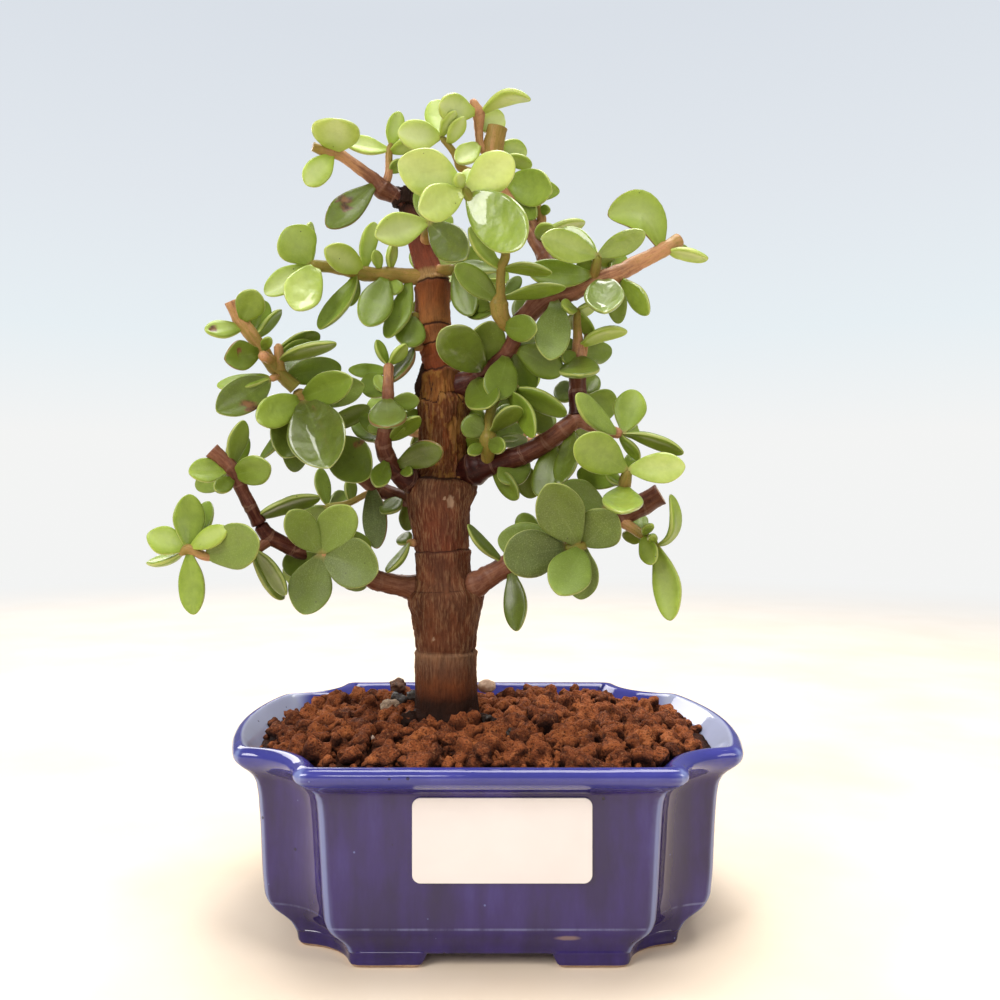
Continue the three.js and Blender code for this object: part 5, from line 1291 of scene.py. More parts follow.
# %% Table of shoots
SHOOTS = [
    ("branch_left_low", 0.36, 0.14, "", "",
     [[(-14, 86, 3, 3.3), (-21, 86.8, 3, 3), (-31, 88.8, -1, 2.8), (-38, 92, -4, 2.7),
       (-46, 95.5, -8, 2.5), (-55, 98, -12.5, 2.3), (-62, 101.5, -15, 2.2), (-65, 105, -16.5, 2)]],
     []),
    ("shoot_left_low_tip", 0.27, 0.62, "657766544", "......m..",
     [[(-62, 100.5, -15, 1.6), (-66, 97.6, -16.5, 1.5), (-72, 96.3, -18, 1.4), (-80, 95.8, -21, 1.3),
       (-85.3, 97.8, -22, 1.4), (-87.6, 96.2, -22, 1)]],
     [(-85.3, 98.6, -22, -84.6, 113.5, -19.5, 9, 10), (-84.6, 98.6, -21, -79.5, 111.5, -8, 6.5, -30),
      (-86, 98.2, -22, -96.9, 102, -23.5, 8.5, 15), (-84.6, 98.4, -22, -74, 103.6, -26.5, 6.5, -20),
      (-85, 97, -22, -83.6, 79.1, -23.5, 8, 25), (-86.2, 97.2, -21, -96.8, 94.1, -15, 7, 72),
      (-80, 96.2, -21, -65, 100.5, -32, 13.5), (-66, 97.2, -16.5, -57.2, 84.8, -21, 8, 60),
      (-67, 97, -15, -57.8, 83.6, -9.5, 9, 118)]),
    ("shoot_left_low_end", 0.14, 0.32, "5565545", ".......",
     [[(-65, 105.2, -16.5, 2), (-67.5, 110, -18, 1.9), (-70.5, 116, -18, 1.9), (-73, 121, -19.5, 2.1),
       (-78.5, 126, -21, 2.3)]],
     [(-72.7, 121.5, -19.5, -69.3, 134.5, -22, 6.5, 35), (-73, 121, -18, -68.3, 130, -7, 7, 20),
      (-73.5, 121, -19.5, -85, 119.5, -25, 7.5, 20), (-73.5, 120, -18, -83, 115.3, -9.5, 7, 10),
      (-72.3, 119, -19.5, -61.7, 121.5, -25, 9, 10), (-72.3, 118, -19.5, -77.3, 114.5, -26.5, 5, 10),
      (-66, 106.5, -16.5, -47.5, 112.5, -14, 8.5, 62)]),
    ("shoot_left_low_inner", 0.27, 0.5, "553444", "mmm.m.",
     [[(-44.6, 94.6, -7.5, 1.7), (-47.2, 96.6, -15, 1.9)]],
     [(-48, 97, -15, -56.5, 108.5, -25, 9.5, 5), (-47, 97.5, -15, -39, 110, -21, 11.5),
      (-46.5, 95.8, -15, -31, 91.5, -22, 14.5), (-46.5, 97, -12.5, -33, 99, -1, 10),
      (-47.8, 95.5, -15, -52.4, 79.2, -19.5, 12.4), (-48.5, 95.8, -14, -58, 92.3, -7, 8)]),
    ("shoot_trunk_left_bud", 0.3, 0.6, "54", "..",
     [[(-19.5, 99.4, 1, 1.2), (-22.8, 99.8, -1, 1.1)]],
     [(-22.3, 99.5, -1, -28.6, 91.2, -7, 6, 72), (-22, 100, -1, -24.8, 101.6, 5, 5, 20)]),
    ("branch_left_middle", 0.04, 0.42, "3464444673445556", "r........r......",
     [[(-16, 116, 3, 2.7), (-22.5, 117.8, 0, 2.5), (-26, 120.3, -2.5, 2.4), (-28.7, 124.5, -5.5, 2.4),
       (-29.5, 128, -7, 2.3), (-28.9, 132, -8, 2.2), (-28.4, 136, -8, 1.9), (-28.2, 143, -8, 1.6),
       (-28, 150.8, -7, 1.5)]],
     [(-28.8, 141, -9.5, -28.5, 132.4, -25, 11), (-27.3, 140, -8, -19.3, 140, -9.5, 5.3, 10),
      (-29, 142.6, -8, -31.6, 147.4, -5.5, 4, 10), (-27.6, 131.6, -8, -23.4, 132.8, -11, 3.2, 20),
      (-30, 131.6, -8, -34, 132.5, -8, 3), (-27.8, 128.3, -7, -19.3, 135.5, -14, 6.5, 45),
      (-27.6, 130, -5.5, -19.6, 137.4, 3, 4.5), (-28.3, 150.4, -7, -31.5, 157.5, -8, 4.5, 55),
      (-27.7, 150.4, -7, -23, 156.2, -8, 5.5, 55), (-25.6, 121.6, -4, -12.8, 126.5, -19.5, 8, 10),
      (-25, 121, -2.5, -21.5, 119.5, -9.5, 3.4), (-28.6, 122.6, -7, -31.5, 115.6, -16.5, 6),
      (-28.9, 142, -7, -35.5, 146.5, 0, 7.5), (-30, 130.4, -5.5, -36, 136.2, 1.5, 5),
      (-30.3, 129, -5.5, -38.5, 133.6, 8, 4.8, 20), (-28.4, 148.6, -5.5, -39.5, 149, 4, 4.5, 20)]),
    ("shoot_trunk_left_leaf", 0.3, 0.6, "3", "r",
     [[(-18, 155.4, 3, 1.2), (-21.2, 155.2, -1, 1)]],
     [(-20.8, 155, -1, -28, 145, -7, 7.5, 60)]),
    ("branch_left_back", 0.2, 0.35, "24444", "b....",
     [[(-16, 111, 5, 2.5), (-22, 112, 8, 2.3), (-30, 114.5, 10, 2.2), (-40, 122, 9, 2.1),
       (-48, 131, 5, 2), (-54, 136.6, -1, 2)]],
     [(-33, 116, 9, -31.3, 98, -1, 7.5, 22), (-24.5, 112.8, 7, -30, 108, 3, 6.5, 45),
      (-23, 111, 9, -22.6, 103, 12, 5), (-46.5, 129.5, 4, -33.5, 118.3, -11, 13),
      (-47, 131.6, 4, -33.4, 138.3, 0, 5.5)]),
    ("shoot_left_back", 0.5, 0.8, "4444", "....",
     [[(-31.5, 114.5, 10.5, 1), (-34.2, 113.6, 14, 0.9), (-39.6, 110.9, 18, 0.9), (-46, 110, 20, 0.8)]],
     [(-39, 111.2, 18, -38.6, 118, 22, 4.5, 40), (-45.6, 110.4, 20, -47.5, 121, 24, 5, 30),
      (-45, 110.4, 20, -40, 113.5, 30, 5), (-46, 109.8, 20, -52, 104, 24, 8)]),
    ("shoot_left_cluster_low", 0.4, 0.62, "7333455", "ww....m",
     [[(-54, 137, -1, 2), (-52.5, 140, -5.5, 1.9), (-54.3, 143.2, -7, 1.9)]],
     [(-53, 140.4, -8, -65.5, 134.5, -21, 9.5), (-51.6, 139.8, -9.5, -45, 121, -28, 17, 5),
      (-53.6, 138.5, -7, -58, 123.8, -16.5, 12), (-53.6, 139.4, -7, -55, 119.7, -8, 9),
      (-54.5, 138.5, -4, -64.5, 123.5, -7, 5, 60), (-52.5, 141, -8, -38.4, 146.3, -19.5, 9.5),
      (-52, 140, -7, -35, 144.5, -8, 9, 20)]),
    ("shoot_left_cluster_high", 0.74, 0.47, "4657656545555", "..r..........",
     [[(-54.6, 143.7, -7, 1.9), (-57.5, 146.5, -8, 1.9), (-61, 150, -9.5, 2), (-64.4, 155, -11, 2),
       (-68, 160, -12.5, 2), (-70.3, 163, -12.5, 2.1), (-73, 168.5, -14, 1.9)],
      [(-61.5, 151.6, -9.5, 1.5), (-64, 153, -18, 1.5)],
      [(-59, 148.5, -9.5, 1.5), (-59.5, 156.3, -9.5, 1.4)],
      [(-58.5, 147.3, -8, 1), (-61.8, 146.3, -12.5, 1)]],
     [(-61.5, 146.2, -12.5, -77, 137, -21, 10.5, 10), (-61.6, 147.2, -12.5, -77, 144.3, -15, 7, 58),
      (-65, 153.6, -12.5, -74.8, 152, -21, 8.5), (-69.5, 161, -12.5, -80.4, 160.2, -19.5, 6, 35),
      (-69.8, 162.6, -14, -66, 171.5, -21, 8.5), (-66.5, 158.5, -12.5, -63, 168.5, -9.5, 5.5, 10),
      (-66, 158, -12.5, -58.5, 165.8, -5.5, 5.5, 60), (-64, 154.5, -14, -61.8, 158, -18, 3.2),
      (-59.2, 151.5, -11, -43, 156.5, -18, 7.5, 62), (-59.2, 153.5, -9.5, -49.5, 156.2, -4, 5, 20),
      (-59.3, 155, -9.5, -47.5, 158.5, -1, 6, 30), (-57.5, 147, -7, -41.5, 149.5, 3, 8, 10),
      (-57, 146.5, -7, -51, 158, 8, 9)]),
    ("branch_left_high", 0.56, 0.74, "8877875557656", "w............",
     [[(-16, 175, 5, 2.4), (-20.7, 175.3, 4, 2.2), (-28, 176, 1.5, 2.1), (-35, 176.3, -1, 2),
       (-43, 178, -5.5, 1.7), (-50.4, 178.7, -8, 1.6)]],
     [(-48.6, 179, -8, -55, 166, -18, 11), (-51, 178.3, -8, -63.4, 170.6, -7, 7.5, 25),
      (-50.9, 179.3, -8, -57.3, 189.4, -12.5, 13, 18), (-50, 179.5, -7, -50, 191, 0, 5, 45),
      (-35.2, 177, -2.5, -46.3, 183.3, -16.5, 8), (-35, 177.6, -1, -31.9, 191, -1, 5.5, 30),
      (-37, 175.5, -4, -47.8, 160.5, -11, 8, 50), (-28.7, 175, 0, -34.3, 161.3, -12.5, 10),
      (-37.5, 176, -1, -39.5, 167, 5, 5), (-27.5, 177.2, 1.5, -26.5, 185.5, -1, 5, 60),
      (-27.2, 175, 1.5, -26.3, 170.3, -1, 5.8), (-22, 174.5, 3, -28.4, 158, -7, 7.5, 30),
      (-30.5, 177.3, 0, -32, 183, -4, 3.5, 20)]),
    ("shoot_trunk_left_upper", 0.5, 0.7, "5", ".",
     [[(-17, 163, 4.5, 1.4), (-21.5, 164.6, 1, 1.2)]],
     [(-21.4, 164.4, 1, -22.3, 155.3, -4, 9)]),
    ("branch_top_left", 0.14, 0.64, "8848776", "..r....",
     [[(-23, 196, 6, 2), (-26, 198.4, 6, 2.1), (-29.8, 200.4, 5, 2.8), (-31.8, 202.8, 4, 1.8),
       (-36.7, 206.5, 1.5, 1.6), (-42.2, 210.3, -1, 1.6), (-45.7, 211, -2.5, 1.5),
       (-49.7, 212.5, -4, 1.3)],
      [(-29.4, 201, 5, 1.4), (-28.1, 204.6, 5, 1.1), (-27.9, 211, 5, 1), (-27.3, 213.4, 5, 0.9)]],
     [(-43.6, 211, -2.5, -43, 220.4, -14, 14), (-44, 210.2, -2.5, -51.6, 201.6, -8, 7.5, 10),
      (-32.6, 201, 3, -45.7, 189.5, -8, 8.5, 15), (-28.2, 211.5, 5, -40.9, 213.9, 0, 6, 40),
      (-27.4, 213, 5, -24.9, 222.5, 4, 5.2, 10), (-27.6, 210.8, 5, -20, 213.6, 1.5, 4.8, 30),
      (-28, 205, 5, -24, 208.7, 4, 4, 30)]),
    ("branch_right_high", 0.12, 0.53, "7865655455554444", "r..ww..m....w...",
     [[(-10, 143, 3, 3.3), (-2, 147.4, -2.5, 2.2), (6, 154.5, -7, 2), (10, 162.5, -9.5, 3),
       (17, 169.3, -9.5, 3.2), (24, 171.2, -9.5, 2.6), (33, 174.8, -9.5, 2.4), (36.5, 176, -9.5, 2.5),
       (42, 178.8, -8, 2.2), (50, 183, -7, 2.1), (54.6, 185.8, -5.5, 2)],
      [(8, 154.6, -7, 1.1), (12, 153.4, -5.5, 0.9)]],
     [(48.6, 183.6, -7, 34.4, 192.8, -12.5, 12, 30, 47, 198), (51, 182.6, -7, 63, 180.5, -11, 5, 48),
      (51.5, 183.4, -5.5, 57.3, 182, 4, 4.5), (33.5, 175.3, -12.5, 33.5, 165.2, -25, 11.5),
      (37.9, 174.8, -9.5, 46, 164.6, -14, 6.5, 35), (36.5, 175, -8, 37.5, 162, -1, 6),
      (35.5, 177, -8, 39.5, 181.3, 0, 5), (20.2, 168, -14, 17.8, 151.7, -22, 10.5),
      (8.6, 163, -7, 12.5, 170.8, 4, 6.5), (8.7, 155, -8, 21.5, 148.2, -14, 9.5, 12),
      (7.6, 154.4, -7, 13, 142.7, -2.5, 7, 10), (9.6, 156.2, -5.5, 13.4, 158, 4, 4.5),
      (-1, 149, -5.5, -13, 160.3, -19.5, 12.5), (-1.6, 148.4, -4, 1.2, 162.8, -12.5, 11.5, 20),
      (5.6, 152.6, -9.5, 2.4, 140.2, -14, 10), (-4.2, 146.6, -4, 0.4, 138.3, -19.5, 10.5)]),
    ("shoot_right_high_upper", 0.5, 0.8, "766565", "www...",
     [[(30, 174.4, -9.5, 1.5), (31, 178, -12.5, 1.4), (31.6, 181.4, -14, 1.3)]],
     [(31.3, 181.3, -14, 15.5, 186.4, -25, 9, 12), (31.4, 181.8, -12.5, 21, 189, -5.5, 6.5, 20),
      (31.9, 181.5, -14, 45, 188, -22, 7, 12), (30.7, 179.5, -12.5, 25.5, 177.6, -5.5, 4.5),
      (31.6, 180.4, -11, 36.5, 178, -1, 5), (29.2, 175.6, -12.5, 11.5, 177.2, -18, 8.5, 22)]),
    ("shoot_crown_stem", 0.6, 0.8, "455556544999688", ".........wwww..",
     [[(8.4, 160.6, -8, 1.6), (5.4, 162, -12.5, 2), (3.7, 165, -14.5, 2.4), (3.5, 168, -15, 2.5),
       (3.8, 170.8, -16.5, 1.2), (4, 177.5, -19.5, 1.3), (5.2, 182, -22, 1.3), (1, 191, -26.5, 1.3),
       (-5, 198, -29, 1.4), (-6.6, 200.8, -30, 1.3)]],
     [(4.6, 161, -14, 14.2, 160.2, -23.5, 8), (2.6, 169, -15, -9, 178.7, -19.5, 7.5, 12),
      (5, 169.3, -15, 22.5, 172.4, -16.5, 5.5, 45), (4.6, 170, -14, 9.6, 175.3, -9.5, 4),
      (4.3, 177.6, -19.5, 18.5, 176.6, -25, 5.5, 55), (3.5, 178, -19.5, -5.2, 189.5, -25, 6.5, 50),
      (3.5, 177.3, -18, -7, 179.3, -12.5, 5, 50), (1.8, 167.2, -14, -3.8, 167, -5.5, 4),
      (2, 165.6, -12.5, -6, 164.9, -4, 4, 30), (-6.8, 200.3, -29, -25.3, 208.3, -36, 13),
      (-7, 199.5, -29, -19.3, 194, -40.5, 10.5), (-5.6, 200.4, -29, 7.4, 209.3, -36, 11.5),
      (-5.2, 198.8, -29, 10, 184, -40.5, 15), (-6.8, 201, -30, -8.4, 204.7, -35, 4, 20),
      (-6, 201, -28, -4.6, 206, -25, 5)]),
    ("shoot_trunk_front_upper", 0.4, 0.75, "835", ".w.",
     [[(-18, 183.6, 6, 1.8), (-17.2, 187, 1.5, 1.7), (-16.5, 190.8, -5.5, 1.6)]],
     [(-17, 191, -7, -31.8, 187, -19.5, 9.5, 5), (-16, 190.3, -7, -6, 180.5, -19.5, 10.5),
      (-16.4, 191, -5.5, -18, 202, -1, 8)]),
    ("shoot_trunk_right_upper", 0.5, 0.7, "45", "..",
     [[(-14, 176.8, 4, 1.8), (-9.2, 177.6, -1, 1.5)]],
     [(-9.4, 177, -2, -4.2, 164.4, -8, 8.5, 10), (-9, 178, -1, 0, 183, 8, 7)]),
    ("branch_crown", 0.16, 0.61, "67876657", "........",
     [[(15.6, 169, -8, 2.4), (18, 175, -4, 2.6), (16.8, 181, 1.5, 2.6), (13.8, 187, 4, 2.6),
       (8, 197, 6, 2.6), (3, 206, 5, 2.7), (1.6, 211, 4, 2.9), (3, 218, 3, 2.9)],
      [(12.5, 188.5, 4, 1.3), (15.5, 191, 4, 1.3), (14, 196.3, 3, 1.2)]],
     [(14.6, 194.6, 3, 18, 194.3, 1.5, 3), (13.8, 186.6, 0, 18.8, 190, -5.5, 5.5, 20),
      (15.5, 187, 4, 28, 191, 3, 7, 58), (4.2, 209.2, 4, 12.8, 206.8, 7, 4.5, 30),
      (5.5, 203, 3, 18.5, 199.6, -8, 10.5), (6, 201.5, 6, 20.7, 199.6, 10, 6),
      (7.4, 198.4, 3, 14, 192.3, -2.5, 6, 20), (3.5, 213, 4, 11.3, 210.3, 10, 6)]),
    ("shoot_crown_left", 0.5, 0.72, "9888", "....",
     [[(1.6, 207.4, 5, 1.2), (-3, 205.4, 4, 1.1), (-7.5, 206.5, 3, 1.1), (-9.3, 210.6, 1.5, 1),
       (-13, 215.2, 0, 1)]],
     [(-13.3, 215.5, 0, -25.4, 216.3, -5.5, 8.5, 10), (-12.8, 215.4, -1, -9.1, 222.6, -7, 4.5, 40),
      (-11, 213, 0, -6.6, 221, -5.5, 5, 30), (-12.8, 215.5, 1.5, -15, 225.7, 7, 8)]),
    ("shoot_crown_top", 0.48, 0.46, "8888", "....",
     [[(1, 210.5, 4, 1.2), (-1.6, 212.2, 3, 1.2), (-2.4, 217, 3, 1.2), (-2.5, 221.5, 1.5, 1.8),
       (-4.3, 226, 0, 1.2)]],
     [(-1.5, 222, 1.5, 12.3, 226, -5.5, 7, 55, 6.5, 229.5), (-3.6, 221.8, 0, -13.6, 224.6, -9.5, 8),
      (-2.4, 213.5, 1.5, -8.3, 208, -4, 6.5, 20), (-2.4, 218, 4, 5, 220.5, 11, 7)]),
    ("branch_right_middle", 0.0, 0.42, "66566444434", "m........w.",
     [[(-9, 119, 1.5, 3.6), (-4, 120.4, -1, 3.4), (2, 122.3, -4, 3.1), (10, 124.6, -7, 2.9),
       (17, 128.4, -9.5, 2.7), (22, 132, -11, 2.6), (26, 134.8, -12.5, 2.7), (30, 133.2, -14, 2.1),
       (34, 131.6, -16.5, 1.8), (38.4, 130.6, -18, 1.6)],
      [(38, 131, -16.5, 0.8), (39.3, 136, -15, 0.6)]],
     [(37, 130.6, -19.5, 25.3, 141.7, -29, 8, 45), (39.4, 131.3, -18, 41.8, 143.3, -15, 9.3),
      (39, 130.8, -18, 56, 125, -21, 6.5, 58), (39, 131, -15, 43, 132.3, -4, 5),
      (37.8, 129.8, -18, 43.3, 123, -15, 4.5, 50), (12.5, 123, -5.5, 3.5, 117.4, -8, 9, 10),
      (1.6, 120.4, -4, 8.9, 112.2, -9.5, 7, 42), (9.5, 122, -2.5, 13.3, 112.4, 5, 7),
      (19, 128, -8, 15, 112.6, -12.5, 8.5, 25), (24.5, 132, -11, 20.8, 116.5, -19.5, 7.5, 35),
      (21, 129, -5.5, 20.3, 117, 3, 5.5)]),
    ("shoot_right_middle_upright", 0.02, 0.72, "754544656766", "............",
     [[(26, 135.5, -12.5, 2.5), (25.8, 142, -11, 2.5), (25.8, 148, -9.5, 2.5), (26, 152, -9.5, 2.1),
       (26, 155, -9.5, 1.7), (25.6, 163, -11, 1.1), (25.7, 166.2, -11, 1)],
      [(27.4, 152, -8, 0.9), (28.8, 161, -7, 0.8)]],
     [(26.8, 155.4, -11, 40, 159.7, -14, 6, 55, 32, 161), (27.6, 153.5, -8, 35.6, 154.2, 3, 6.5),
      (26, 153, -11, 26.5, 147.3, -26.5, 11.5), (25.2, 154.8, -8, 21.3, 157.3, -4, 4, 20),
      (25.2, 153.6, -11, 21.6, 151.8, -16.5, 4), (24.2, 140.6, -9.5, 20, 144.8, -1, 6.5),
      (28, 140, -9.5, 37, 138.2, -5.5, 9.5), (28, 142, -8, 31, 147.3, 0, 6),
      (25.9, 165.6, -11, 30.2, 157.8, -7, 4, 20), (25.8, 166, -11, 31.2, 166.8, -8, 5.5, 50),
      (25.4, 166, -11, 21.4, 167.4, -16.5, 5, 50), (25.4, 165, -9.5, 23.4, 160.6, -1, 4.5)]),
    ("shoot_right_middle_inner", 0.66, 0.8, "444554445554", "............",
     [[(0.2, 123.5, -5.5, 1.7), (0.3, 127, -9.5, 2.4), (0.4, 129.4, -11, 2.6), (0.5, 131.6, -11, 1.5),
       (0.8, 136, -11, 1.4), (3, 141, -9.5, 1.4), (6, 143.4, -9.5, 1.3)]],
     [(-0.6, 131, -11, -7.2, 134, -11, 7.5), (-0.4, 132.6, -8, -5, 137.5, 4, 5.5),
      (1.7, 131.3, -12.5, 9.5, 138.2, -19.5, 7, 42), (1.5, 132.5, -9.5, 7.5, 138.5, 1.5, 6),
      (2.2, 129.9, -8, 10.6, 132, 4, 5.5), (0.3, 128, -14, 5, 126.7, -22, 5),
      (-1.4, 127.6, -11, -5.2, 125, -15, 3.8, 10), (-1.6, 128.5, -8, -6.5, 126, 4, 6),
      (2.6, 128.6, -8, 11.5, 128.8, 4, 4.5, 10), (5.8, 142.6, -11, 13.4, 129.9, -21, 7.5, 45),
      (6.6, 143.2, -9.5, 22.7, 136.2, -15, 8, 45), (6.4, 142.6, -8, 18.5, 131.4, 1.5, 8)]),
    ("branch_right_low", 0.31, 0.24, "344", "...",
     [[(-9, 86, 3, 3.5), (-3, 87.8, 0, 3.2), (1, 90.3, -1, 3.1), (6, 93.2, -2.5, 3), (20, 99.2, -4, 2.8),
       (30, 103.5, -5.5, 2.9), (38, 107, -7, 2.9), (44, 110.4, -8, 3.1), (49.4, 113.4, -9.5, 3.1)]],
     [(7, 91, -5.5, 8.6, 74.5, -14, 7.5, 25), (4.4, 94.6, -2.5, -5.6, 104.7, -7, 6, 62),
      (15, 99, -2.5, 9.3, 107.8, 7, 7)]),
    ("shoot_right_low_front", 0.45, 0.8, "445424", "mmmmmm",
     [[(28.8, 105, -8, 1.1), (27.8, 101, -16.5, 1.1), (26.8, 98.7, -19.5, 1.5), (22, 98.2, -19.5, 1.3)]],
     [(26, 99.3, -21, 17, 116.3, -30.5, 14), (27.6, 98.8, -19.5, 36.4, 108.3, -26.5, 12.5),
      (27.4, 98, -21, 20.3, 84.7, -33.5, 12.5), (27.4, 98, -18, 26.6, 83.4, -18, 10, 10),
      (22.6, 98, -21, 4.8, 94.8, -28, 14), (22.4, 98.8, -18, 3, 100.5, -15, 11.5)]),
    ("shoot_right_low_upper", 0.5, 0.7, "44", "m.",
     [[(35, 106.5, -8, 1.3), (33.6, 109.9, -14, 1.2)]],
     [(33.2, 110, -14, 21.3, 116, -19.5, 9, 5), (33.4, 109, -12.5, 26.8, 106.6, -5.5, 5)]),
    ("shoot_right_low_crown", 0.4, 0.7, "686655", ".w.w..",
     [[(39.4, 108.5, -7.5, 1.7), (39, 113, -15, 1.7), (39.3, 117, -19.5, 1.7), (40, 120.3, -21, 1.5)]],
     [(39.2, 120.4, -21, 25.3, 128.6, -30.5, 12), (40.5, 120.5, -21, 56.4, 121.3, -28, 9, 5),
      (39.8, 121, -18, 41.8, 124.8, -11, 3.6), (38.8, 115.2, -19.5, 38.3, 108.2, -36, 11.5),
      (38.3, 116, -18, 34.4, 120.6, -11, 4, 40), (38.2, 117.4, -16.5, 25.6, 119.4, -5.5, 7.5)]),
    ("shoot_right_low_end", 0.45, 0.8, "5566676", ".......",
     [[(39, 105.4, -8, 1.6), (44, 102, -12.5, 1.3), (46.5, 100.4, -14, 1.1), (48.4, 98.9, -15, 1.1)]],
     [(43.5, 102.8, -9.5, 43.6, 107.5, 1.5, 5), (42, 103.2, -8, 40.6, 99.6, -2.5, 5.5),
      (44.5, 101.8, -14, 46.9, 105, -18, 3.4, 45), (44, 101.5, -14, 47.4, 93.6, -19.5, 6, 25),
      (48.7, 98.9, -15, 52.1, 113.4, -18, 6, 68, 56, 101.5), (48.4, 98.4, -15, 52.3, 77.4, -19.5, 9, 32),
      (47.8, 99.6, -15, 46.8, 101.6, -21, 3)]),
    ("branch_back_low", 0.2, 0.6, "454545545", "..m......",
     [[(-12.7, 99, 6, 2.4), (-12.5, 103, 18, 2), (-11.5, 107, 26, 1.8), (-12, 112, 33, 1.5)],
      [(-12.4, 103.4, 20, 1.4), (-13.4, 99, 25, 1.2), (-13, 95.4, 31, 1.1)]],
     [(-11.4, 105.6, 22, -6.6, 105.9, 29, 8, 55), (-13, 98, 27, -16.6, 92, 32, 8),
      (-13.2, 98, 27, -8.6, 93.6, 33, 8, 20), (-13, 95.4, 31, -12.4, 88.4, 37, 9),
      (-13, 95.6, 31, -11.8, 98.4, 41, 9), (-12, 110, 30, -17.4, 113.6, 34, 10),
      (-12, 112, 33, -10.4, 121, 36, 9), (-12, 111.6, 33, -7.6, 107, 42, 9),
      (-12.2, 112, 33, -16, 107, 42, 9)]),
    ("branch_back_middle", 0.2, 0.65, "45565545656", "....m......",
     [[(-12.5, 127, 6, 2.4), (-12.5, 131, 17, 2), (-13.5, 137, 26, 1.8), (-11, 143, 34, 1.5)],
      [(-12.8, 131.4, 18, 1.4), (-21, 131, 24, 1.2), (-28.6, 134.4, 29, 1.1)]],
     [(-13, 134.4, 23, -8.2, 130, 31, 9), (-13.4, 137, 26, -17.6, 144.6, 31, 9),
      (-12.6, 139.4, 29, -3.6, 143.4, 35, 10), (-11, 143, 34, -11.4, 152, 38, 9),
      (-11, 142.6, 34, -15.6, 137.6, 43, 9), (-10.8, 143, 34, -4.4, 146.6, 42, 10),
      (-20, 131, 23, -17, 126, 31, 8), (-21, 131.2, 24, -22.4, 137.6, 31, 8),
      (-28.4, 134.4, 29, -31.6, 141.6, 34, 9), (-28.4, 134.2, 29, -33.6, 129, 35, 9),
      (-28.4, 134.4, 29, -27.4, 136.6, 39, 9)]),
    ("branch_back_high", 0.3, 0.75, "556767576676", "............",
     [[(-15.6, 166, 7, 2.2), (-15.2, 169, 17, 1.9), (-16, 176, 25, 1.6), (-14.5, 186, 30, 1.4)],
      [(-15.2, 169.6, 18, 1.3), (-8, 170.4, 24, 1.2), (-1, 174.4, 28, 1)]],
     [(-15.2, 170, 19, -19.6, 163, 24, 8), (-15.6, 173.4, 22, -12, 166.6, 29, 8),
      (-16, 177, 25, -20, 184.6, 28, 9), (-15.6, 179.4, 27, -9.4, 184, 32, 10),
      (-14.6, 186, 30, -14.8, 195, 33, 10), (-14.6, 185.6, 30, -20.6, 188.6, 38, 10),
      (-14.6, 185, 30, -14.8, 178.6, 38, 9), (-8, 170.4, 24, -8.6, 176.6, 30, 8),
      (-7, 171, 24.5, -2, 167.4, 32, 8), (-1, 174.4, 28, 5, 179, 32, 9), (-1, 174.4, 28, 4, 169, 33, 8),
      (-1, 174.4, 28, -2, 175.6, 38, 9)]),
    ("branch_back_right", 0.15, 0.65, "45455645665", "..m........",
     [[(-9.5, 121, 6, 2.2), (2, 122.8, 16, 1.9), (9, 127.6, 24, 1.7), (9.4, 136, 29, 1.5),
       (7, 146, 32, 1.4)],
      [(8.8, 127.6, 24, 1.3), (17, 130, 28, 1.2), (25, 134.6, 30, 1)]],
     [(4.6, 124.6, 19, 7, 118.6, 26, 6.5), (17, 130, 28, 19.6, 125, 35, 7),
      (16, 130, 28, 15.4, 137, 33, 8), (25, 134.6, 30, 31, 139.6, 33, 9),
      (25, 134.4, 30, 31.4, 131.4, 35, 8), (25, 134.6, 30, 24, 135.4, 40, 9),
      (9.4, 133, 27, 4, 130.4, 34, 7), (8.8, 139.4, 30, 3, 142.6, 37, 9),
      (7, 146, 32, 1.4, 151.4, 36, 10), (7, 146, 32, 14.6, 149.6, 35, 10), (7, 146, 32, 7.4, 141, 41, 9)]),
    ("branch_back_left", 0.2, 0.6, "454555455", "m......m.",
     [[(-15, 89.5, 7, 2.4), (-24, 88.4, 16, 2), (-36, 91.6, 23, 1.8), (-43, 96.4, 27, 1.6),
       (-45, 104, 30, 1.4)],
      [(-36, 91.8, 23, 1.3), (-44, 91, 28, 1.1), (-52, 92.6, 31, 1)]],
     [(-37, 92.2, 25, -38.6, 86, 31, 8), (-37.4, 93, 23, -34.4, 96.4, 30, 6),
      (-52, 92.6, 31, -57, 88.6, 36, 8), (-52, 92.6, 31, -54.6, 96.6, 37, 8),
      (-52, 92.6, 31, -49.6, 91.6, 40, 9), (-43.4, 97.6, 28, -37.6, 100, 35, 8),
      (-45, 104, 30, -42, 109.6, 34, 9), (-45, 104, 30, -52.4, 107, 34, 8),
      (-45, 103.4, 30, -44.6, 100.6, 39, 8)]),
]

# %% Cuts, wounds and swellings
CUT_STEMS = ("shoot_left_low_end", "shoot_left_cluster_high", "branch_top_left", "branch_right_high",
             "branch_crown", "branch_right_low")
# Brown wounds of single leaves: place across and along the leaf, radius in mm.
WOUNDS = {
    ("shoot_left_cluster_low", 1): (0.25, 0.14, 1.3),
    ("shoot_left_cluster_high", 0): (0.75, 0.55, 1.9),
    ("shoot_left_cluster_high", 2): (-0.3, 0.6, 0.8),
    ("shoot_left_cluster_high", 3): (0.1, 0.8, 1.2),
    ("branch_top_left", 2): (-0.35, 0.5, 2.1),
    ("branch_right_high", 0): (0.1, 0.7, 0.7),
    ("branch_right_high", 3): (-0.5, 0.75, 0.5),
    ("shoot_right_middle_upright", 6): (0.2, 0.45, 0.8),
    ("branch_left_back", 3): (0.8, 0.5, 1.4),
}
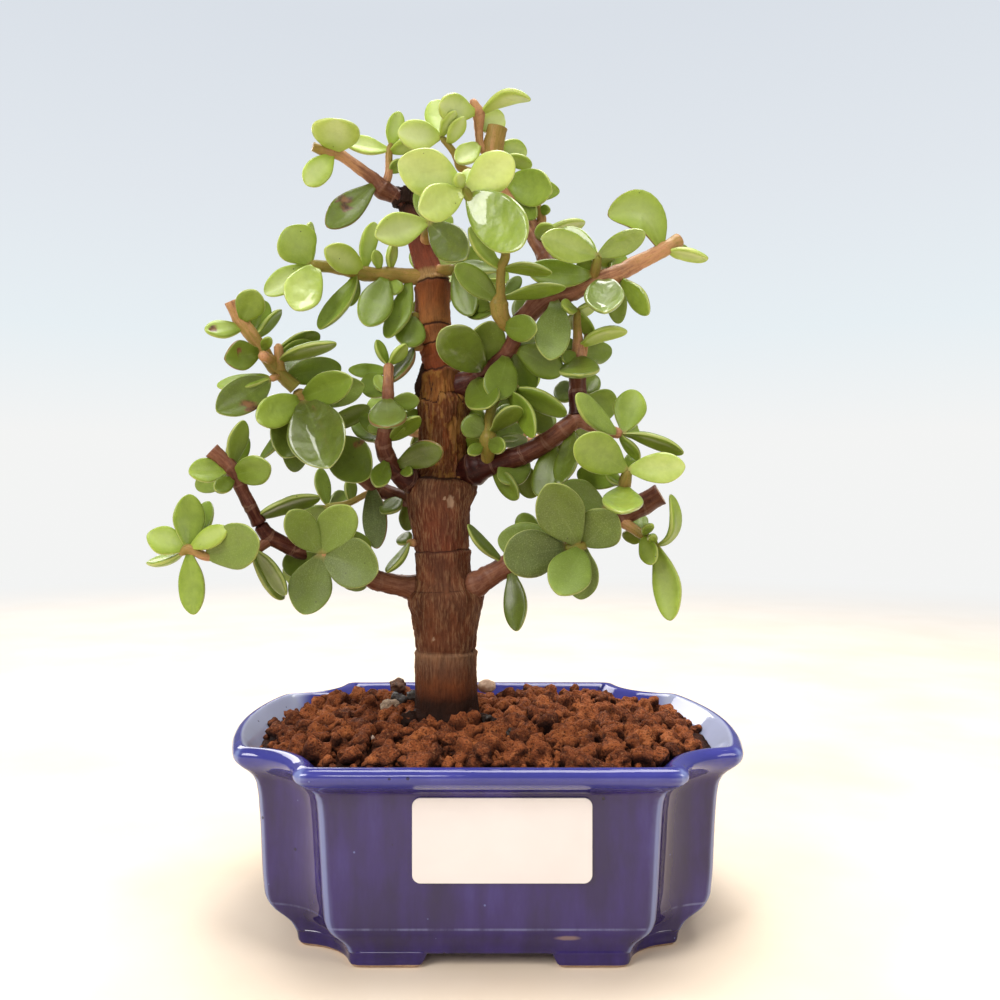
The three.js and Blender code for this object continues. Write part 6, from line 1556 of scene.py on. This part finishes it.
# A pit in a stem's front: x and z on the sight plane, width, depth.
DENTS = {"branch_right_middle": (-3.9, 121.2, 1.0, 0.9)}
# Where a stem swells near its start: run from its start, share of its radius, width.
MAIN_FLARE = (0, 0.12, 1.5)
SIDE_FLARE = (0, 0.1, 1.5)
BASE_FLARES = {
    "branch_left_low": (8, 0.15, 2.5), "branch_right_low": (7, 0.18, 2.5),
    "branch_left_middle": (7, 0.5, 3.5), "branch_right_middle": (6.5, 0.35, 3),
    "branch_right_high": (4, 0.3, 3),
}

# %% [markdown]
# ## Making a leaf
#
# The jade plant's leaf is a fat little spoon: narrow at its stalk, widest past the middle, a
# good 2 mm thick and rounded at the rim. Its skin is rings of points again, along a curved
# middle line. Each point remembers its place on the leaf, which the material uses for the
# rim, the underside and the stalk. One leaf has about 500 faces, so that its outline stays
# round in the picture, and the whole crown still weighs little.

# %% One leaf
ROOT_SPACING = 0.7
LEAF_ROWS = 20
LEAF_SIDES = 24
LEAF_THICK = 2.3
LEAF_SAG = 0.07
LEAF_SQUARE = 2 / 2.9
LEAF_UNEVEN = 0.14
MIDRIB_DEPTH = 0.16
STALK_SHARE = 0.16


def unit(vectors):
    return vectors / np.linalg.norm(vectors, axis=-1, keepdims=True)


def nearest_on(stems, place):
    """The point of the stems' middle lines that is nearest to a place."""
    lines = np.vstack([path_through(points, ROOT_SPACING)[0] for points in stems])
    return lines[np.argmin(np.linalg.norm(lines - place, axis=1))]


def leaf_skin(leaf, root, seed, tone, surface, wound):
    """A leaf between its root on a stem and its tip, with the marks its material reads."""
    base_x, base_z, base_depth, tip_x, tip_z, tip_depth, width = leaf[:7]
    dice = np.random.default_rng(seed)
    base, tip = sighted(base_x, base_z, base_depth), sighted(tip_x, tip_z, tip_depth)
    length = np.linalg.norm(tip - base)
    middle_depth = (base_depth + tip_depth) / 2
    along_chord = (tip - base) / length
    facing = unit(EYE - base - along_chord * np.dot(EYE - base, along_chord))
    angle = math.radians(leaf[7] if len(leaf) > 7 else 0)
    facing = facing * math.cos(angle) + np.cross(along_chord, facing) * math.sin(angle)
    bend = (base + tip) / 2 - facing * 2 * LEAF_SAG * length * dice.uniform(0.6, 1.3)
    if len(leaf) > 8:
        bend = sighted(*leaf[8:], middle_depth)
    t = (0.5 - 0.5 * np.cos(math.pi * (np.arange(LEAF_ROWS) + 0.45) / LEAF_ROWS))[:, None]
    line = (1 - t) ** 2 * base + 2 * t * (1 - t) * bend + t**2 * tip
    line = line + (root - base) * np.clip(1 - t / STALK_SHARE, 0, 1) ** 2
    ahead = unit(2 * (1 - t) * (bend - base) + 2 * t * (tip - bend))
    upward = unit(facing - ahead * (ahead @ facing)[:, None])
    right = np.cross(upward, ahead)
    sway = (t - 0.5) * dice.uniform(-0.22, 0.22)
    upward, right = (upward * np.cos(sway) + right * np.sin(sway),
                     right * np.cos(sway) - upward * np.sin(sway))

    half = width * sight_scale(middle_depth) / 2
    fullness = dice.uniform(1.14, 1.3)
    outline_share = np.sin(math.pi * t**fullness) ** dice.uniform(0.47, 0.55)
    ripple = 1 + 0.018 * np.sin(t * dice.uniform(7, 13) + dice.uniform(0, 6))
    reach = np.hypot(half * outline_share * ripple, 0.55 * np.clip(1 - t * 5, 0, 1))
    stout = LEAF_THICK * min(1.0, 0.55 + half / 9) / 2
    thick = stout * np.sin(math.pi * t**1.05) ** 0.42

    round_angles = np.linspace(0, 2 * math.pi, LEAF_SIDES, endpoint=False)
    across = np.sign(np.cos(round_angles)) * np.abs(np.cos(round_angles)) ** LEAF_SQUARE
    side = np.sign(np.sin(round_angles)) * np.abs(np.sin(round_angles)) ** LEAF_SQUARE
    dish = dice.uniform(0.02, 0.3) * half
    fold = dice.uniform(0.0, 0.16) * half
    skew = dice.uniform(-0.06, 0.06) * half * np.sin(math.pi * t)
    lift = thick * side + dish * (across**2 - 0.3) * outline_share + fold * np.abs(across) * outline_share
    lift = lift - MIDRIB_DEPTH * bell(across, 0.16) * (side > 0) * np.sin(math.pi * t) ** 2
    offset = reach * across + skew
    rings = line[:, None] + offset[..., None] * right[:, None] + lift[..., None] * upward[:, None]
    rings += LEAF_UNEVEN * fractal(rings, 5.0, 2, seed)[..., None] * upward[:, None]

    shape = offset.shape
    scar = np.zeros(shape)
    if wound:
        away = np.hypot((across - wound[0]) * half, (t - wound[1]) * length)
        scar = np.clip(1.5 - away / wound[2] + 0.9 * fractal(rings, 1.3, 3, seed), 0, 1)
        rings -= 0.35 * scar[..., None] * np.sign(side)[:, None] * upward[:, None]
    look = [tone + dice.uniform(-0.045, 0.045), surface in "w", surface in "mb", surface in "rb"]
    marks = {
        "leaf_place": np.stack(np.broadcast_arrays(across[None], t, side[None]), axis=-1),
        "leaf_look": np.broadcast_to(np.array(look, float), (*shape, 4)),
        "scar": scar,
    }
    return ring_skin(rings, root, tip, marks)

# %% [markdown]
# ## Leaf material
#
# One material serves all leaves. The marks from the table choose each leaf's own green, its
# bloom or its film of water. What all share is made here: soft mottling, a pale margin, a
# paler underside, tiny dark specks, and a little light that passes through the flesh.

# %% Leaf green
leaf_green, tree, place, shader = new_material("leaf_green")
leaf_place = wire(tree, "ShaderNodeSeparateXYZ", Vector=mark(tree, "leaf_place", "Vector"))
across, along, side = leaf_place.outputs
look = wire(tree, "ShaderNodeSeparateColor", Color=mark(tree, "leaf_look", "Color"))
tone, wet, bloom = look.outputs
red_edge = mark(tree, "leaf_look", "Alpha")
scar = mark(tree, "scar")
clouds = noise_at(place, 150, 4, 0.55)
mottle = noise_at(place, 620, 5, 0.6)
grain = noise_at(place, 3200, 2)
share = swayed(tone, clouds, 0.22)
share = swayed(share, mottle, 0.16)
share = swayed(share, along, 0.08)
colour = ramp(share, [
    (0.0, (0.036, 0.038, 0.007)), (0.2, (0.056, 0.072, 0.009)), (0.4, (0.095, 0.134, 0.014)),
    (0.6, (0.16, 0.238, 0.022)), (0.8, (0.31, 0.425, 0.052)), (1.0, (0.54, 0.66, 0.16)),
])
under = times(steps(side, 0.1, -0.3), 0.35)
colour = blend_colours(under, colour, (0.22, 0.33, 0.07))
off_middle = maths("ABSOLUTE", across)
vein = times(steps(off_middle, 0.1, 0.0), steps(along, 0.75, 0.1))
colour = tinted(colour, vein, 0.1, (0.4, 0.5, 0.18))
rim = steps(maths("ABSOLUTE", side), 0.5, 0.25)
rim = maths("MAXIMUM", rim, steps(along, 0.985, 0.998))
inner = minus(1.0, rim)
stipple = steps(grain, 0.44, 0.62)
bloom_share = plus(0.07, times(stipple, 0.1))
bloom_share = times(times(bloom_share, bloom), inner)
colour = blend_colours(bloom_share, colour, (0.34, 0.43, 0.19))
# Partly painted sheen: the middle of bright leaves turns whitish. This is partly pale bloom and partly a
# soft highlight painted where light falls on them. Wet leaves get less of it.
pale_heart_sheen = times(steps(off_middle, 0.95, 0.15), steps(along, 0.02, 0.45))
pale_heart_sheen = times(times(pale_heart_sheen, inner), steps(tone, 0.6, 0.95))
pale_heart_sheen = times(pale_heart_sheen, minus(0.5, times(wet, 0.3)))
colour = blend_colours(pale_heart_sheen, colour, (0.66, 0.73, 0.44))
# Partly painted light: the pale rim is partly the leaf's paler margin and partly a painted glow of light
# through the thin edge.
colour = tinted(colour, rim, 0.5, (0.5, 0.53, 0.17))
red_share = times(times(rim, red_edge), 0.8)
colour = blend_colours(red_share, colour, (0.17, 0.05, 0.03))
dots = speck_mask(place, 380, 0.07, 0.16)
colour = tinted(colour, dots, 0.8, (0.035, 0.03, 0.012))
pale_dots = steps(grain, 0.6, 0.7)
colour = tinted(colour, pale_dots, 0.12, (0.5, 0.56, 0.16))
stalk = steps(along, 0.07, 0.01)
colour = tinted(colour, stalk, 0.6, (0.34, 0.26, 0.09))
scar_colour = ramp(mottle, [(0.35, (0.05, 0.02, 0.01)), (0.6, (0.2, 0.095, 0.035))])
colour = blend_colours(steps(scar, 0.2, 0.7), colour, scar_colour)
roughness = plus(plus(0.27, times(bloom, 0.16)), times(mottle, 0.14))
skin_height = plus(times(mottle, 0.55), times(clouds, 1.3))
film_height = times(wet, noise_at(place, 260, 1.5, 0.4))
normal = bump(film_height, 0.6, 0.0011, bump(skin_height, 0.22, 0.0006))
feed(shader, Base_Color=colour, Roughness=roughness, Specular_IOR_Level=0.38, Normal=normal,
     Coat_Weight=times(wet, 0.75), Coat_Roughness=0.03,
     Subsurface_Weight=0.16, Subsurface_Radius=(0.0017, 0.0018, 0.0004))

# %% One stem
STEM_SIDES = 16
STEM_SPACING = 0.45
TIP_LENGTH = 1.2
# The face of a cut end: how far in each of its rings lies, and its mark for the material.
CUT_FACE = [(0.04, 0.3), (0.16, 0.42), (0.34, 0.58), (0.6, 0.75), (0.85, 0.95)]


def stem_skin(name, order, points, seed, wood_base, wood_tip):
    """A stem with rings at its knots, a swelling at its start and a round or a cut end."""
    main = order == 0
    cut = main and name in CUT_STEMS
    places, radii, runs, knot_runs = path_through(points, STEM_SPACING)
    if not cut:
        radii = radii * np.clip((runs[-1] - runs) / TIP_LENGTH + 0.25, 0, 1) ** 0.5
    flare_at, flare, flare_width = BASE_FLARES.get(name, MAIN_FLARE) if main else SIDE_FLARE
    radii = radii * (1 + flare * bell(runs - flare_at, flare_width))
    plain = tube_points(places, radii, STEM_SIDES)
    run_marks = runs[:, None] + 0.9 * fractal(plain, 2.6, 2, seed)
    scar, relief, crack, cut_mark = np.zeros((4, *plain.shape[:2]))
    dice = np.random.default_rng(seed)
    for knot in knot_runs[1:-1]:
        clear = dice.uniform(0.3, 1.0)
        relief += 0.08 * radii[:, None] * bell(run_marks - knot, 1.3)
        relief -= 0.07 * clear * radii[:, None] * bell(run_marks - knot, 0.3)
        scar = np.maximum(scar, clear * bell(run_marks - knot, 0.42))
    uneven = 0.09 * fractal(plain, 3.0, 3, seed + 1) + 0.03 * fractal(plain, 0.8, 2, seed)
    relief += radii[:, None] * uneven
    if main and name in DENTS:
        x, z, reach, deep = DENTS[name]
        seen_x, seen_z = on_sight_plane(plain)
        off = np.hypot(seen_x - x, seen_z - z)
        front = plain[..., 1] < places[:, 1][:, None]
        relief += (0.5 * bell(off, reach * 2.4) - deep * bell(off, reach)) * front
        crack = np.where(front, bell(off, reach), 0)
    rings = tube_points(places, radii, STEM_SIDES, relief)
    share = runs / runs[-1]
    wood = (wood_base + (wood_tip - wood_base) * (share if main else 0.5 + 0.5 * share))[:, None]
    place = bark_place(radii, runs, STEM_SIDES)
    if cut:
        end = rings[-1] + 0.12 * fractal(rings[-1], 0.9, 2, seed)[:, None]
        rings = np.vstack([rings, [end + (end.mean(0) - end) * inward for inward, _ in CUT_FACE]])
        cut_mark = np.vstack([cut_mark, [np.full(STEM_SIDES, level) for _, level in CUT_FACE]])
        pad = ((0, len(CUT_FACE)), (0, 0))
        scar, crack = np.pad(scar, pad), np.pad(crack, pad)
        wood = np.pad(wood, pad, mode="edge")
        place = np.pad(place, (*pad, (0, 0)), mode="edge")
    return ring_skin(rings, marks=bark_marks(place, crack=crack, scar=scar, wood=wood, cut=cut_mark))

# %% Grow the shoots
for shoot, (name, wood_base, wood_tip, tones, surfaces, stems, leaves) in enumerate(SHOOTS):
    skins = [stem_skin(name, order, points, 100 + shoot * 4 + order, wood_base, wood_tip)
             for order, points in enumerate(stems)]
    if not leaves:
        settle(mesh_piece(name, join_skins(skins), bark_twig), "bark", name)
        continue
    settle(mesh_piece(name + "_stems", join_skins(skins), bark_twig), "bark")
    blades = []
    for i, (leaf, tone, surface) in enumerate(zip(leaves, tones, surfaces)):
        root = nearest_on(stems, sighted(*leaf[:3]))
        blades.append(leaf_skin(leaf, root, shoot * 40 + i + 1, int(tone) / 10 + 0.05, surface,
                                WOUNDS.get((name, i))))
    settle(mesh_piece(name + "_leaves", join_skins(blades), leaf_green), "leaf", name)
